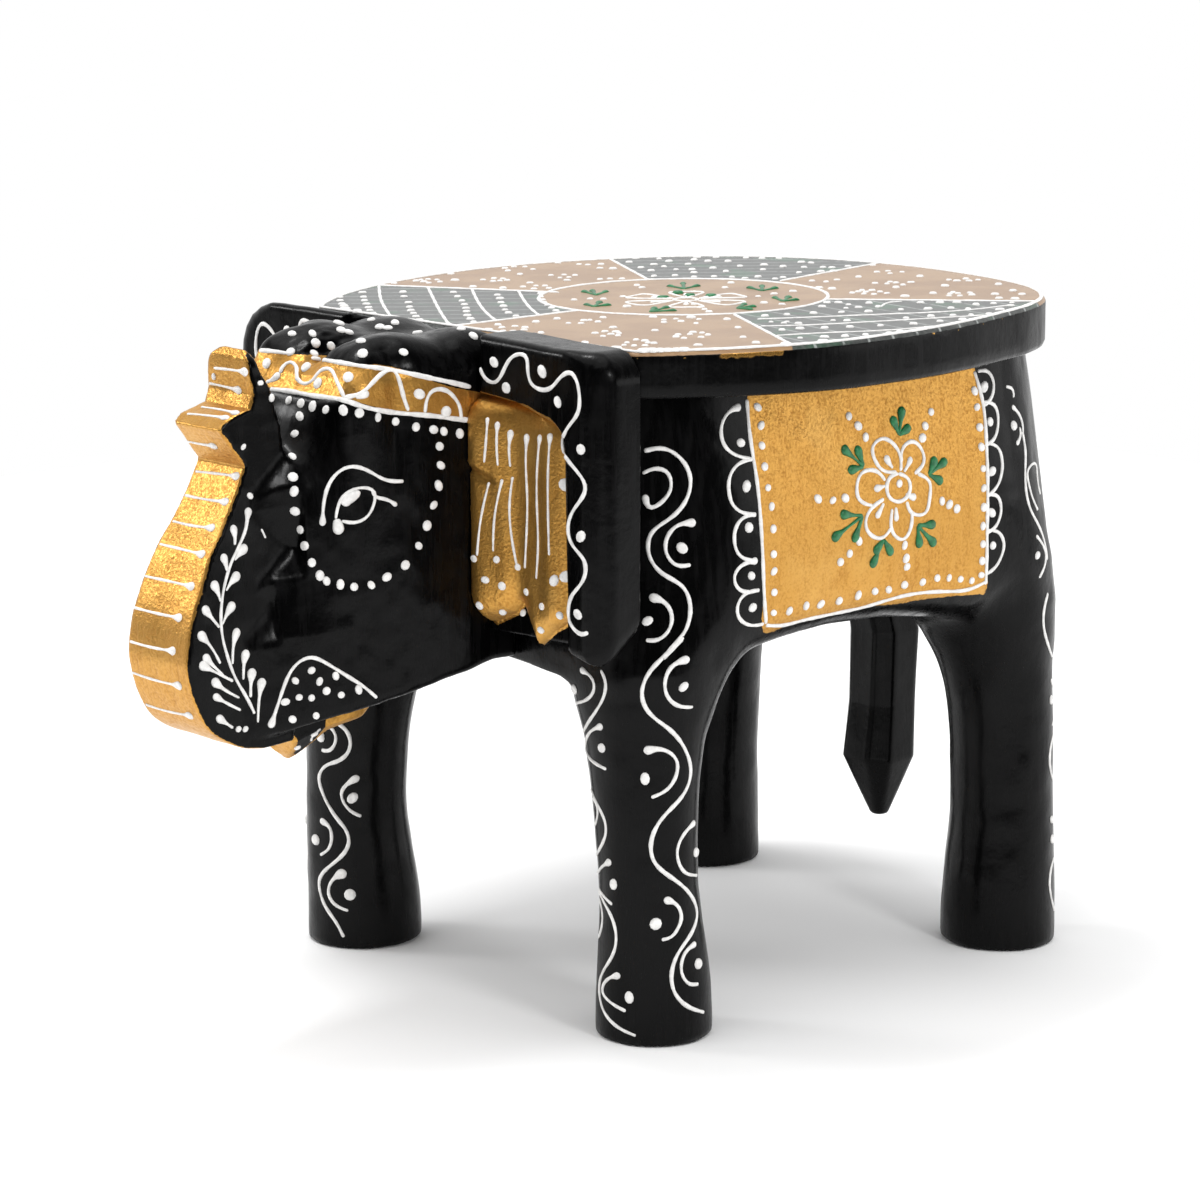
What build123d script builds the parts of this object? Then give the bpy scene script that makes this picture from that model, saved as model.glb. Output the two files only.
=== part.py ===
from build123d import *
from math import cos, hypot, radians, sin
import os

os.makedirs("parts", exist_ok=True)

# A small elephant stool of painted wood. Millimetres, +Z up, the floor at z = 0.
# The elephant looks towards -Y and its left side is +X. The origin lies on the floor,
# under the middle of the whole object's length and width.

# ---------------------------------------------------------------- driving dimensions

# seat
seat_length = 197.0         # front to back, before the front edge is cut straight
seat_width = 192.0
seat_thickness = 13.5
seat_edge_round = 2.0
# The board is a hand-cut round. Each pair is a direction from its centre, in degrees from +X,
# and how far the edge stands outside an oval of the seat's length and width there.
seat_fullness = [
    (0, -0.6),
    (12, -2.2),
    (24, -2.2),
    (34, 0.2),
    (44, 2.0),
    (56, 2.0),
    (68, 0.4),
    (79, -0.3),
    (90, 0.0),
    (101, 1.0),
    (117, 3.6),
    (134, 4.3),
    (150, 2.2),
    (164, 1.0),
    (178, 0.0),
    (195, -1.0),
    (208, -1.3),
    (223, 0.2),
    (235, 3.3),
    (252, 6.3),
    (272, 9.0),
    (292, 11.8),
    (307, 14.0),
    (317, 11.2),
    (325, 8.8),
    (334, 6.5),
    (342, 4.2),
    (351, 1.1),
]

# legs
leg_height = 100.0          # from the floor to the underside of the body
front_foot_across = 31.0
rear_foot_across = 33.0
waist_across = 27.0         # the narrowest place of a leg
knee_across = 31.5          # where a leg begins to spread into the body
leg_top_across = 41.0
foot_height = 7.0           # of the straight part of a foot
waist_height = 45.0
knee_height = 79.0
foot_bevel = 1.2
foot_out = 61.5             # from the middle line to the centre of a foot
foot_reach = 67.5           # from the seat's centre to the centre of a foot, along the body
waist_bow = 2.6             # how far the waists stand outside the feet, along the body

# body
body_height = 73.5
body_width_low = 152.0
body_width_mid = 158.0
body_width_top = 146.0
body_mid_height = 24.0      # of the widest section, above the underside
chest_reach = 85.0          # from the seat's centre forward to the flat chest
chest_trim_low = 0.5        # planed off the rounded barrel to make the chest flat
chest_trim_mid = 5.0
chest_trim_top = 7.0
rump_reach_low = 84.5
rump_reach_mid = 89.5
rump_reach_top = 87.5
body_corner_mid = 41.0
body_corner_top = 43.0
belly_arch_span = 90.0
belly_arch_rise = 5.0
belly_arch_forward = 7.0    # the middle of the arch lies this far before the seat's centre

# head
head_half_width = 27.0      # at the back of the head, between the ears
cheek_half_width = 21.5     # at the front corners of the cheeks
face_half_width = 13.5      # of the flat face that carries the trunk
head_straight = 17.0        # length of the straight part between the ears
cheek_reach = 53.0          # from the chest to the front corners of the cheeks
face_reach = 67.0           # from the chest to the flat face
jaw_drop = 13.0             # the jaw's front end lies this far below the underside of the body
face_top_drop = 19.0        # the top of the flat face lies this far below the seat's top
brow_reach = 52.0
brow_drop = 2.5
skull_rise = 3.0            # how far the skull domes stand above the seat
dome_groove_radius = 7.0
dome_groove_length = 34.0
head_edge_round = 2.0
lip_half_width = 9.0
lip_drop = 22.0             # lowest point of the lower lip, below the underside of the body

# trunk
trunk_thickness = 26.6
trunk_tip_thickness = 18.0
trunk_curl = 32.2           # from the face to the foremost point of the curl
trunk_curl_height = 7.0     # of that foremost point, above the underside of the body
trunk_drop = 16.5           # the trunk's bottom, below the underside of the body
trunk_taper_height = 12.0   # where it starts to get thinner, above the underside of the body
trunk_lip = 18.0            # from the face to the point of the lip
trunk_neck = 10.0           # from the face to the hollow under the lip
trunk_lobe_front = 7.5      # from the face to the front of the upright tip
trunk_lobe_back = 2.5
trunk_lobe_round = 6.0      # height of the tip's rounded end at the front
trunk_lobe_round_back = 4.0

# ears
ear_width = 47.7
ear_height = 80.5
ear_thickness = 14.5
ear_corner = 8.0
ear_edge_round = 2.5
ear_lift = 7.0              # the ears' lower edge, above the underside of the body
ear_border = 14.0           # width of the raised border down the outer side
ear_border_top = 14.8       # its height along the top, beside the head
ear_border_fall = 6.0       # how much deeper the top border is at its outer end
ear_panel_drop = 2.0        # how far the pleated panel lies behind the border
ear_panel_slant = 2.0       # the panel is this much narrower at its top
ear_hem_low = 2.5           # points of the ragged hem, above the ear's lower edge
ear_hem_high = 10.5

# tail
tail_root_across = 14.0
tail_across = 18.0
tail_facet = 4.2            # bevel along each long edge
tail_length = 77.5
tail_swell = 20.0           # it reaches its full width this far below the body
tail_point = 19.0           # length of the pointed end
tail_reach = 76.0           # from the seat's centre back to the middle of the tail's root
tail_set_back = 6.8         # its middle hangs this much further back than its root
tail_end_set_back = 5.3
tail_blunt = 5.0            # width of the blunt tip

# tenons and dowels
leg_tenon_radius = 10.0
leg_tenon_length = 24.0
tail_tenon_radius = 5.0
tail_tenon_length = 18.0
seat_dowel_radius = 4.0
seat_dowel_in_seat = 8.0
seat_dowel_in_body = 16.0
seat_dowel_out = 45.0
seat_dowel_along = 50.0
neck_dowel_radius = 5.0
neck_dowel_half = 20.0      # depth in head and in body
neck_dowel_low = 20.0       # above the underside of the body
neck_dowel_high = 21.5      # below the top of the body
trunk_dowel_radius = 3.0
trunk_dowel_half = 11.0
trunk_dowel_low = 4.0       # above the underside of the body
trunk_dowel_high = 33.5     # below the top of the body
ear_dowel_radius = 3.0
ear_dowel_in_ear = 7.0
ear_dowel_in_body = 12.0
ear_dowel_out = 50.0
ear_dowel_low = 38.5        # both below the top of the body
ear_dowel_high = 13.5

# fits
dowel_clearance = 0.05      # on the radius, room for glue
socket_extra = 0.5          # extra depth beyond the end of a tenon or dowel
joint_gap = 0.3             # between pieces that stand side by side without a joint
end_bevel = 0.8             # on tenons and dowels
cut_past = 1.0              # cuts run this far beyond the wood they remove
corner_flat = 0.1           # flat left between the round corners of a nearly round section

# ---------------------------------------------------------------- worked out from them

body_top = leg_height + body_height
seat_top = body_top + seat_thickness
overall_length = seat_length / 2 + chest_reach + face_reach + trunk_curl
seat_y = overall_length / 2 - seat_length / 2       # Y of the seat's centre

chest_y = seat_y - chest_reach
face_y = chest_y - face_reach
ear_inner = head_half_width + joint_gap
ear_outer = ear_inner + ear_width
ear_low = leg_height + ear_lift
ear_top = ear_low + ear_height
leg_top_corner = leg_top_across / 2 - corner_flat

across_body = Plane.XY
along_body = Plane(origin=(0, 0, 0), x_dir=(0, 1, 0), z_dir=(1, 0, 0))     # local x is Y, local y is Z


def upright(y):
    """A plane across the body at this Y. Local x is X, local y is Z, and it faces forward."""
    return Plane(origin=(0, y, 0), x_dir=(1, 0, 0), z_dir=(0, -1, 0))


def sink_sockets(plane, places, radius, depth):
    """Round sockets in the open part. A positive depth goes the way the plane faces."""
    past_end = socket_extra if depth > 0 else -socket_extra
    with BuildSketch(plane) as mouths:
        with Locations(*places):
            Circle(radius + dowel_clearance)
    extrude(mouths.sketch, amount=depth + past_end, mode=Mode.SUBTRACT)


def dowel_set(plane, places, radius, length_before, length_behind):
    """Identical dowels through a joint plane, with bevelled ends."""
    with BuildPart() as dowels:
        with BuildSketch(plane.offset(-length_behind)):
            with Locations(*places):
                Circle(radius)
        extrude(amount=length_before + length_behind)
        chamfer(dowels.edges().filter_by(GeomType.CIRCLE), end_bevel)
    return dowels


# ---------------------------------------------------------------- places of the joints

seat_dowel_places = [
    (side * seat_dowel_out, seat_y + end * seat_dowel_along)
    for side in (-1, 1)
    for end in (-1, 1)
]
neck_dowel_places = [(0, leg_height + neck_dowel_low), (0, body_top - neck_dowel_high)]
trunk_dowel_places = [(0, leg_height + trunk_dowel_low), (0, body_top - trunk_dowel_high)]


def ear_dowel_places(side):
    return [(side * ear_dowel_out, body_top - drop) for drop in (ear_dowel_low, ear_dowel_high)]


def leg_top_centre(side, end):
    """Centre of a leg's top. end is -1 at the front and 1 at the rear."""
    reach = chest_reach if end < 0 else rump_reach_low
    out = body_width_low / 2 - leg_top_across / 2
    return (side * out, seat_y + end * (reach - leg_top_across / 2))


leg_top_centres = [leg_top_centre(side, end) for side in (-1, 1) for end in (-1, 1)]
tail_root = (0, seat_y + tail_reach)

# ---------------------------------------------------------------- seat


def seat_edge_point(direction, fullness):
    """A point of the hand-cut edge, from the seat's centre."""
    along_x = cos(radians(direction))
    along_y = sin(radians(direction))
    oval = 1 / hypot(along_x / (seat_width / 2), along_y / (seat_length / 2))
    return ((oval + fullness) * along_x, seat_y + (oval + fullness) * along_y)


with BuildPart() as seat_board:
    with BuildSketch(across_body.offset(body_top)):
        with BuildLine():
            Spline(*[seat_edge_point(*pair) for pair in seat_fullness], periodic=True)
        make_face()
    extrude(amount=seat_thickness)
    fillet(seat_board.edges().filter_by(Plane.XY), seat_edge_round)
    split(bisect_by=upright(chest_y + joint_gap), keep=Keep.BOTTOM)
    sink_sockets(across_body.offset(body_top), seat_dowel_places, seat_dowel_radius, seat_dowel_in_seat)

seat_board.part.label = "seat_board"
export_step(seat_board.part, "parts/seat_board.step")

# ---------------------------------------------------------------- body

# height above the underside, width, wood planed off the chest, reach back to the rump, corner radius
body_sections = [
    (0.0, body_width_low, chest_trim_low, rump_reach_low, leg_top_corner),
    (body_mid_height, body_width_mid, chest_trim_mid, rump_reach_mid, body_corner_mid),
    (body_height, body_width_top, chest_trim_top, rump_reach_top, body_corner_top),
]
arch_radius = (belly_arch_span**2 / 4 + belly_arch_rise**2) / (2 * belly_arch_rise)

with BuildPart() as body_block:
    for height, width, chest_trim, rump_reach, corner in body_sections:
        front = chest_y - chest_trim
        rear = seat_y + rump_reach
        with BuildSketch(across_body.offset(leg_height + height)):
            with Locations((0, (front + rear) / 2)):
                RectangleRounded(width, rear - front, corner)
    loft()
    split(bisect_by=upright(chest_y), keep=Keep.BOTTOM)
    with BuildSketch(along_body):
        with Locations((seat_y - belly_arch_forward, leg_height + belly_arch_rise - arch_radius)):
            Circle(arch_radius)
    extrude(amount=body_width_mid, both=True, mode=Mode.SUBTRACT)
    sink_sockets(across_body.offset(body_top), seat_dowel_places, seat_dowel_radius, -seat_dowel_in_body)
    sink_sockets(across_body.offset(leg_height), leg_top_centres, leg_tenon_radius, leg_tenon_length)
    sink_sockets(across_body.offset(leg_height), [tail_root], tail_tenon_radius, tail_tenon_length)
    sink_sockets(upright(chest_y), neck_dowel_places, neck_dowel_radius, -neck_dowel_half)
    for side in (-1, 1):
        sink_sockets(upright(chest_y), ear_dowel_places(side), ear_dowel_radius, -ear_dowel_in_body)

body_block.part.label = "body_block"
export_step(body_block.part, "parts/body_block.step")

# ---------------------------------------------------------------- legs


def carved_leg(side, end):
    """A waisted leg with a round tenon. side is 1 on the left, end is -1 at the front."""
    foot_across = front_foot_across if end < 0 else rear_foot_across
    top_x, top_y = leg_top_centre(side, end)
    foot = (side * foot_out, seat_y + end * foot_reach)
    waist = (side * foot_out, seat_y + end * (foot_reach + waist_bow))
    knee = ((waist[0] + top_x) / 2, (waist[1] + top_y) / 2 + end * waist_bow / 2)
    stations = [
        (0.0, foot, foot_across),
        (foot_height, foot, foot_across),
        (waist_height, waist, waist_across),
        (knee_height, knee, knee_across),
        (leg_height, (top_x, top_y), leg_top_across),
    ]
    with BuildPart() as leg:
        for height, centre, across in stations:
            with BuildSketch(across_body.offset(height)):
                with Locations(centre):
                    RectangleRounded(across, across, across / 2 - corner_flat)
        loft()
        chamfer(leg.faces().sort_by(Axis.Z)[0].edges(), foot_bevel)
        with BuildSketch(across_body.offset(leg_height)):
            with Locations((top_x, top_y)):
                Circle(leg_tenon_radius)
        extrude(amount=leg_tenon_length)
        chamfer(leg.faces().sort_by(Axis.Z)[-1].edges(), end_bevel)
    return leg


for side, side_name in ((1, "left"), (-1, "right")):
    for end, end_name in ((-1, "front"), (1, "rear")):
        leg = carved_leg(side, end)
        leg.part.label = f"leg_{end_name}_{side_name}"
        export_step(leg.part, f"parts/leg_{end_name}_{side_name}.step")

# ---------------------------------------------------------------- head

# Outline seen from the side. The first number is the distance before the chest.
jaw_line = [
    (0.0, leg_height),
    (8.0, leg_height),
    (28.0, leg_height - 3.5),
    (44.0, leg_height - 6.5),
    (face_reach, leg_height - jaw_drop),
]
skull_line = [
    (face_reach, seat_top - face_top_drop),
    (62.5, seat_top - 13.0),
    (brow_reach + 4.0, seat_top - 6.0),
    (brow_reach, seat_top - brow_drop),
    (45.0, seat_top + 2.0),
    (36.0, seat_top + skull_rise),
    (14.0, seat_top + skull_rise),
    (0.0, seat_top + 1.5),
]
lip_line = [
    (38.0, leg_height - 4.0),
    (41.0, leg_height - jaw_drop),
    (50.0, leg_height - jaw_drop - 2.0),
    (56.0, leg_height - lip_drop + 1.0),
    (61.0, leg_height - lip_drop),
    (64.0, leg_height - lip_drop + 4.0),
    (59.0, leg_height - 9.0),
]
head_plan = [
    (head_half_width, 0.0),
    (head_half_width, head_straight),
    (cheek_half_width, cheek_reach),
    (face_half_width, face_reach),
]
plan_right = [(-half, reach) for half, reach in reversed(head_plan)]

with BuildPart() as head_block:
    with BuildSketch(along_body):
        with BuildLine():
            Polyline(*[(chest_y - reach, height) for reach, height in jaw_line + skull_line], close=True)
        make_face()
    extrude(amount=head_half_width, both=True)
    with BuildSketch(across_body):
        with BuildLine():
            Polyline(*[(half, chest_y - reach) for half, reach in head_plan + plan_right], close=True)
        make_face()
    extrude(amount=seat_top + skull_rise, mode=Mode.INTERSECT)
    fillet(head_block.edges().filter_by(Axis.Z).group_by(Axis.Y)[1], head_edge_round)
    with BuildSketch(upright(chest_y - brow_reach - 4.0)):
        with Locations((0, seat_top + skull_rise + 1.0)):
            Circle(dome_groove_radius)
    extrude(amount=-dome_groove_length, mode=Mode.SUBTRACT)
    with BuildSketch(along_body):
        with BuildLine():
            Polyline(*[(chest_y - reach, height) for reach, height in lip_line], close=True)
        make_face()
    extrude(amount=lip_half_width, both=True)
    sink_sockets(upright(chest_y), neck_dowel_places, neck_dowel_radius, neck_dowel_half)
    sink_sockets(upright(face_y), trunk_dowel_places, trunk_dowel_radius, -trunk_dowel_half)

head_block.part.label = "head_block"
export_step(head_block.part, "parts/head_block.step")

# ---------------------------------------------------------------- trunk

# Front edge from the bottom up to the hollow under the lip, as distance before the face and height.
curl_height = leg_height + trunk_curl_height
lip_height = seat_top - 19.5
curl_low_line = [
    (0.0, leg_height - trunk_drop),
    (15.0, leg_height - trunk_drop + 2.0),
    (trunk_curl - 4.0, leg_height - 5.5),
    (trunk_curl, curl_height),
]
curl_high_line = [
    (trunk_curl, curl_height),
    (trunk_curl - 2.7, curl_height + 13.0),
    (22.0, lip_height - 32.0),
    (14.0, lip_height - 17.5),
    (trunk_neck, lip_height - 10.0),
]
tip_line = [
    (trunk_neck, lip_height - 10.0),
    (trunk_lip, lip_height),
    (trunk_lobe_front, lip_height + 4.0),
    (trunk_lobe_front, seat_top - trunk_lobe_round),
]
tip_round = [
    (trunk_lobe_front, seat_top - trunk_lobe_round),
    ((trunk_lobe_front + trunk_lobe_back) / 2, seat_top),
    (trunk_lobe_back, seat_top - trunk_lobe_round_back),
]
tip_back_line = [
    (trunk_lobe_back, seat_top - trunk_lobe_round_back),
    (0.5, seat_top - 12.0),
    (0.0, seat_top - face_top_drop),
    (0.0, leg_height - trunk_drop),
]
thickness_line = [
    (trunk_thickness / 2, leg_height - trunk_drop),
    (trunk_thickness / 2, leg_height + trunk_taper_height),
    (trunk_tip_thickness / 2, seat_top),
]


def before_face(points):
    return [(face_y - reach, height) for reach, height in points]


with BuildPart() as trunk:
    with BuildSketch(along_body):
        with BuildLine():
            Spline(*before_face(curl_low_line), tangents=[(-1, 0), (0, 1)])
            Spline(*before_face(curl_high_line), tangents=[(0, 1), (0.6, 0.8)])
            Polyline(*before_face(tip_line))
            ThreePointArc(*before_face(tip_round))
            Polyline(*before_face(tip_back_line))
        make_face()
    extrude(amount=trunk_thickness / 2, both=True)
    with BuildSketch(upright(face_y)):
        with BuildLine():
            left_edge = thickness_line
            right_edge = [(-half, height) for half, height in reversed(thickness_line)]
            Polyline(*(left_edge + right_edge), close=True)
        make_face()
    extrude(amount=trunk_curl, mode=Mode.INTERSECT)
    sink_sockets(upright(face_y), trunk_dowel_places, trunk_dowel_radius, trunk_dowel_half)

trunk.part.label = "trunk"
export_step(trunk.part, "parts/trunk.step")

# ---------------------------------------------------------------- ears


def slab_ear(side):
    """A thick slab: a raised border over the top and down the outer side, and a lower pleated panel."""
    panel_outer = ear_outer - ear_border
    panel_top = ear_top - ear_border_top
    panel_corners = [
        (ear_inner - cut_past, ear_low - cut_past),
        (ear_inner - cut_past, panel_top),
        (panel_outer - ear_panel_slant, panel_top - ear_border_fall),
        (panel_outer, ear_low - cut_past),
    ]
    hem_step = (panel_outer - ear_inner) / 4
    hem_corners = [
        (ear_inner - cut_past, ear_low - cut_past),
        (ear_inner - cut_past, ear_low + ear_hem_low),
        (ear_inner + hem_step, ear_low + ear_hem_low),
        (ear_inner + 2 * hem_step, ear_low + ear_hem_high),
        (ear_inner + 3 * hem_step, ear_low + ear_hem_low),
        (panel_outer, ear_low + ear_hem_high),
        (panel_outer, ear_low - cut_past),
    ]
    with BuildPart() as ear:
        with BuildSketch(upright(chest_y)):
            with Locations((side * (ear_inner + ear_outer) / 2, (ear_low + ear_top) / 2)):
                RectangleRounded(ear_width, ear_height, ear_corner)
        extrude(amount=ear_thickness)
        fillet(ear.faces().sort_by(Axis.Y)[0].edges(), ear_edge_round)
        with BuildSketch(upright(chest_y - ear_thickness)):
            with BuildLine():
                Polyline(*[(side * out, height) for out, height in panel_corners], close=True)
            make_face()
        extrude(amount=-ear_panel_drop, mode=Mode.SUBTRACT)
        with BuildSketch(upright(chest_y)):
            with BuildLine():
                Polyline(*[(side * out, height) for out, height in hem_corners], close=True)
            make_face()
        extrude(amount=ear_thickness, mode=Mode.SUBTRACT)
        sink_sockets(upright(chest_y), ear_dowel_places(side), ear_dowel_radius, ear_dowel_in_ear)
    return ear


for side, side_name in ((1, "left"), (-1, "right")):
    ear = slab_ear(side)
    ear.part.label = f"ear_{side_name}"
    export_step(ear.part, f"parts/ear_{side_name}.step")

# ---------------------------------------------------------------- tail

# distance below the body, distance behind the root, width, bevel of the long edges
tail_sections = [
    (0.0, 0.0, tail_root_across, tail_facet),
    (tail_swell, tail_set_back, tail_across, tail_facet),
    (tail_length - tail_point, tail_end_set_back, tail_across + 0.5, tail_facet),
    (tail_length, tail_end_set_back, tail_blunt, tail_blunt / 4),
]

with BuildPart() as tail:
    for drop, set_back, across, bevel in tail_sections:
        with BuildSketch(across_body.offset(leg_height - drop)) as section:
            with Locations((0, tail_root[1] + set_back)):
                Rectangle(across, across)
            chamfer(section.vertices(), bevel)
    loft(ruled=True)
    with BuildSketch(across_body.offset(leg_height)):
        with Locations(tail_root):
            Circle(tail_tenon_radius)
    extrude(amount=tail_tenon_length)
    chamfer(tail.faces().sort_by(Axis.Z)[-1].edges(), end_bevel)

tail.part.label = "tail"
export_step(tail.part, "parts/tail.step")

# ---------------------------------------------------------------- dowels

seat_dowels = dowel_set(
    across_body.offset(body_top),
    seat_dowel_places,
    seat_dowel_radius,
    seat_dowel_in_seat,
    seat_dowel_in_body,
)
neck_dowels = dowel_set(
    upright(chest_y), neck_dowel_places, neck_dowel_radius, neck_dowel_half, neck_dowel_half
)
trunk_dowels = dowel_set(
    upright(face_y), trunk_dowel_places, trunk_dowel_radius, trunk_dowel_half, trunk_dowel_half
)
ear_dowels = dowel_set(
    upright(chest_y),
    ear_dowel_places(-1) + ear_dowel_places(1),
    ear_dowel_radius,
    ear_dowel_in_ear,
    ear_dowel_in_body,
)

for dowels, label in (
    (seat_dowels, "seat_dowels"),
    (neck_dowels, "neck_dowels"),
    (trunk_dowels, "trunk_dowels"),
    (ear_dowels, "ear_dowels"),
):
    dowels.part.label = label
    export_step(dowels.part, f"parts/{label}.step")
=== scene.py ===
import math

import bmesh
import bpy
import numpy as np
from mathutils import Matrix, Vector
from mathutils.bvhtree import BVHTree


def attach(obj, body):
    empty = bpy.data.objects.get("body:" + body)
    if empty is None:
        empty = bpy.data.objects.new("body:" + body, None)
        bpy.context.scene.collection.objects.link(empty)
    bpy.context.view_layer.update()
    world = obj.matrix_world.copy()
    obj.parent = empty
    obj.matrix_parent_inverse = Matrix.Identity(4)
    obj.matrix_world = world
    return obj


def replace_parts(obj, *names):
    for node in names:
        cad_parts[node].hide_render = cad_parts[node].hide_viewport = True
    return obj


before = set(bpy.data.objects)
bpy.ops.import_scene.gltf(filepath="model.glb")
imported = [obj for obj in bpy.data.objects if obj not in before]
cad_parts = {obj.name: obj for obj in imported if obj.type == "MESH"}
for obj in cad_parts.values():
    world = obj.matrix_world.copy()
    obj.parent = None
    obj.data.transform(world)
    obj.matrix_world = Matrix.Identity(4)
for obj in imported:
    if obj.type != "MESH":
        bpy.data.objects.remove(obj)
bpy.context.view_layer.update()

print("frame loaded:", len(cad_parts), "nodes")

# shapes are worked out in millimetres from the seat's centre, then moved into the frame
mm = 0.001
seatY = 42.85
hand = np.random.default_rng(11)


def toFrame(points):
    return (np.asarray(points, float) + (0.0, seatY, 0.0)) * mm


# camera

viewCamera = dict(
    place=(817.0, -765.0, 325.3), look=(-16.2, -17.3, 99.3), lens=120.0, sensor=36.0, clip=(0.05, 20),
    frame=1200,        # pixels along each side of its frame
)

cameraData = bpy.data.cameras.new("viewCamera")
cameraData.lens = viewCamera["lens"]
cameraData.sensor_width = viewCamera["sensor"]
cameraData.clip_start, cameraData.clip_end = viewCamera["clip"]
camera = bpy.data.objects.new("viewCamera", cameraData)
bpy.context.scene.collection.objects.link(camera)
eye = np.array(viewCamera["place"])
sight = np.array(viewCamera["look"]) - eye
sight /= np.linalg.norm(sight)
sightRight = np.cross(sight, (0, 0, 1))
sightRight /= np.linalg.norm(sightRight)
sightUp = np.cross(sightRight, sight)
focal = viewCamera["lens"] / viewCamera["sensor"] * viewCamera["frame"]
halfFrame = viewCamera["frame"] / 2
camera.location = toFrame(eye)
camera.rotation_euler = Vector(sight).to_track_quat("-Z", "Y").to_euler()
bpy.context.scene.camera = camera
bpy.context.scene.view_settings.view_transform = "Standard"


def rays(spots):
    # directions from the eye through spots of the 1200 frame
    spots = np.asarray(spots, float)
    out = sight + (spots[:, :1] - halfFrame) / focal * sightRight
    out -= (spots[:, 1:2] - halfFrame) / focal * sightUp
    return out / np.linalg.norm(out, axis=1, keepdims=True)


def spotsOf(points):
    # where points stand in the 1200 frame
    q = points - eye
    scale = focal / (q @ sight)
    return np.stack([halfFrame + scale * (q @ sightRight), halfFrame - scale * (q @ sightUp)], 1)


# soft shapes: a field is negative inside the wood

def softMin(a, b, k):
    h = np.clip(0.5 + 0.5 * (b - a) / k, 0, 1)
    return b + (a - b) * h - k * h * (1 - h)


def softMax(a, b, k):
    return -softMin(-a, -b, k)


def ramp(value, start, end):
    # 0 at start and 1 at end, straight between them; end may be the lower one
    return np.clip((value - start) / (end - start), 0, 1)


def ease(share):
    return share * share * (3 - 2 * share)


def flow(t, knots, values):
    # smooth curve through values, flat beyond both ends
    k, v = np.asarray(knots, float), np.asarray(values, float)
    slope = np.gradient(v, k)
    i = np.clip(np.searchsorted(k, t) - 1, 0, len(k) - 2)
    h = k[i + 1] - k[i]
    u = np.clip((t - k[i]) / h, 0, 1)
    a = (2 * u ** 3 - 3 * u ** 2 + 1) * v[i] + (u ** 3 - 2 * u ** 2 + u) * h * slope[i]
    return a + (3 * u ** 2 - 2 * u ** 3) * v[i + 1] + (u ** 3 - u ** 2) * h * slope[i + 1]


def fromEdge(u, v, a, b):
    # squared distance to the straight edge from a to b
    e = b - a
    t = np.clip(((u - a[0]) * e[0] + (v - a[1]) * e[1]) / (e @ e), 0, 1)
    return (u - a[0] - t * e[0]) ** 2 + (v - a[1] - t * e[1]) ** 2


def outline(u, v, corners):
    # signed distance to a closed outline
    c = np.asarray(corners, float)
    best = np.full(u.shape, 1e9)
    inside = np.zeros(u.shape, bool)
    for a, b in zip(c, np.roll(c, -1, axis=0)):
        best = np.minimum(best, fromEdge(u, v, a, b))
        if a[1] != b[1]:
            crosses = (a[1] > v) != (b[1] > v)
            inside ^= crosses & (u < a[0] + (v - a[1]) / (b[1] - a[1]) * (b[0] - a[0]))
    return np.where(inside, -1, 1) * np.sqrt(best)


def roundBox(u, v, halfU, halfV, corner):
    a, b = np.abs(u) - (halfU - corner), np.abs(v) - (halfV - corner)
    return np.hypot(np.maximum(a, 0), np.maximum(b, 0)) + np.minimum(np.maximum(a, b), 0) - corner


def ball(p, centre, radii):
    q = (p - centre) / radii
    k = np.linalg.norm(q, axis=1)
    return (k - 1) * k / np.maximum(np.linalg.norm(q / radii, axis=1), 1e-6)


cubeCorners = [(a, b, c) for a in (0, 1) for b in (0, 1) for c in (0, 1)]
latticeSize = 24
lattice = hand.random((latticeSize,) * 3) * 2 - 1


def wobble(p, size, shift=0.0):
    # smooth unevenness from -1 to 1; size is one number or three
    q = p / size + shift
    i = np.floor(q).astype(int)
    f = ease(q - i)
    total = 0
    for corner in cubeCorners:
        share = np.where(corner, f, 1 - f).prod(1)
        total = total + share * lattice[tuple(((i + corner) % latticeSize).T)]
    return total


def gradient(field, p, step=0.15):
    out = np.empty_like(p)
    for k in range(3):
        d = np.zeros(3)
        d[k] = step
        out[:, k] = (field(p + d) - field(p - d)) / (2 * step)
    return out


def settle(field, points, reach=1.5, rounds=3, leastSlope=0.05):
    # draws points onto the field's skin
    for _ in range(rounds):
        g = gradient(field, points)
        move = field(points)[:, None] * g / np.maximum((g ** 2).sum(1, keepdims=True), leastSlope)
        points = points - np.clip(move, -reach, reach)
    return points


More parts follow.
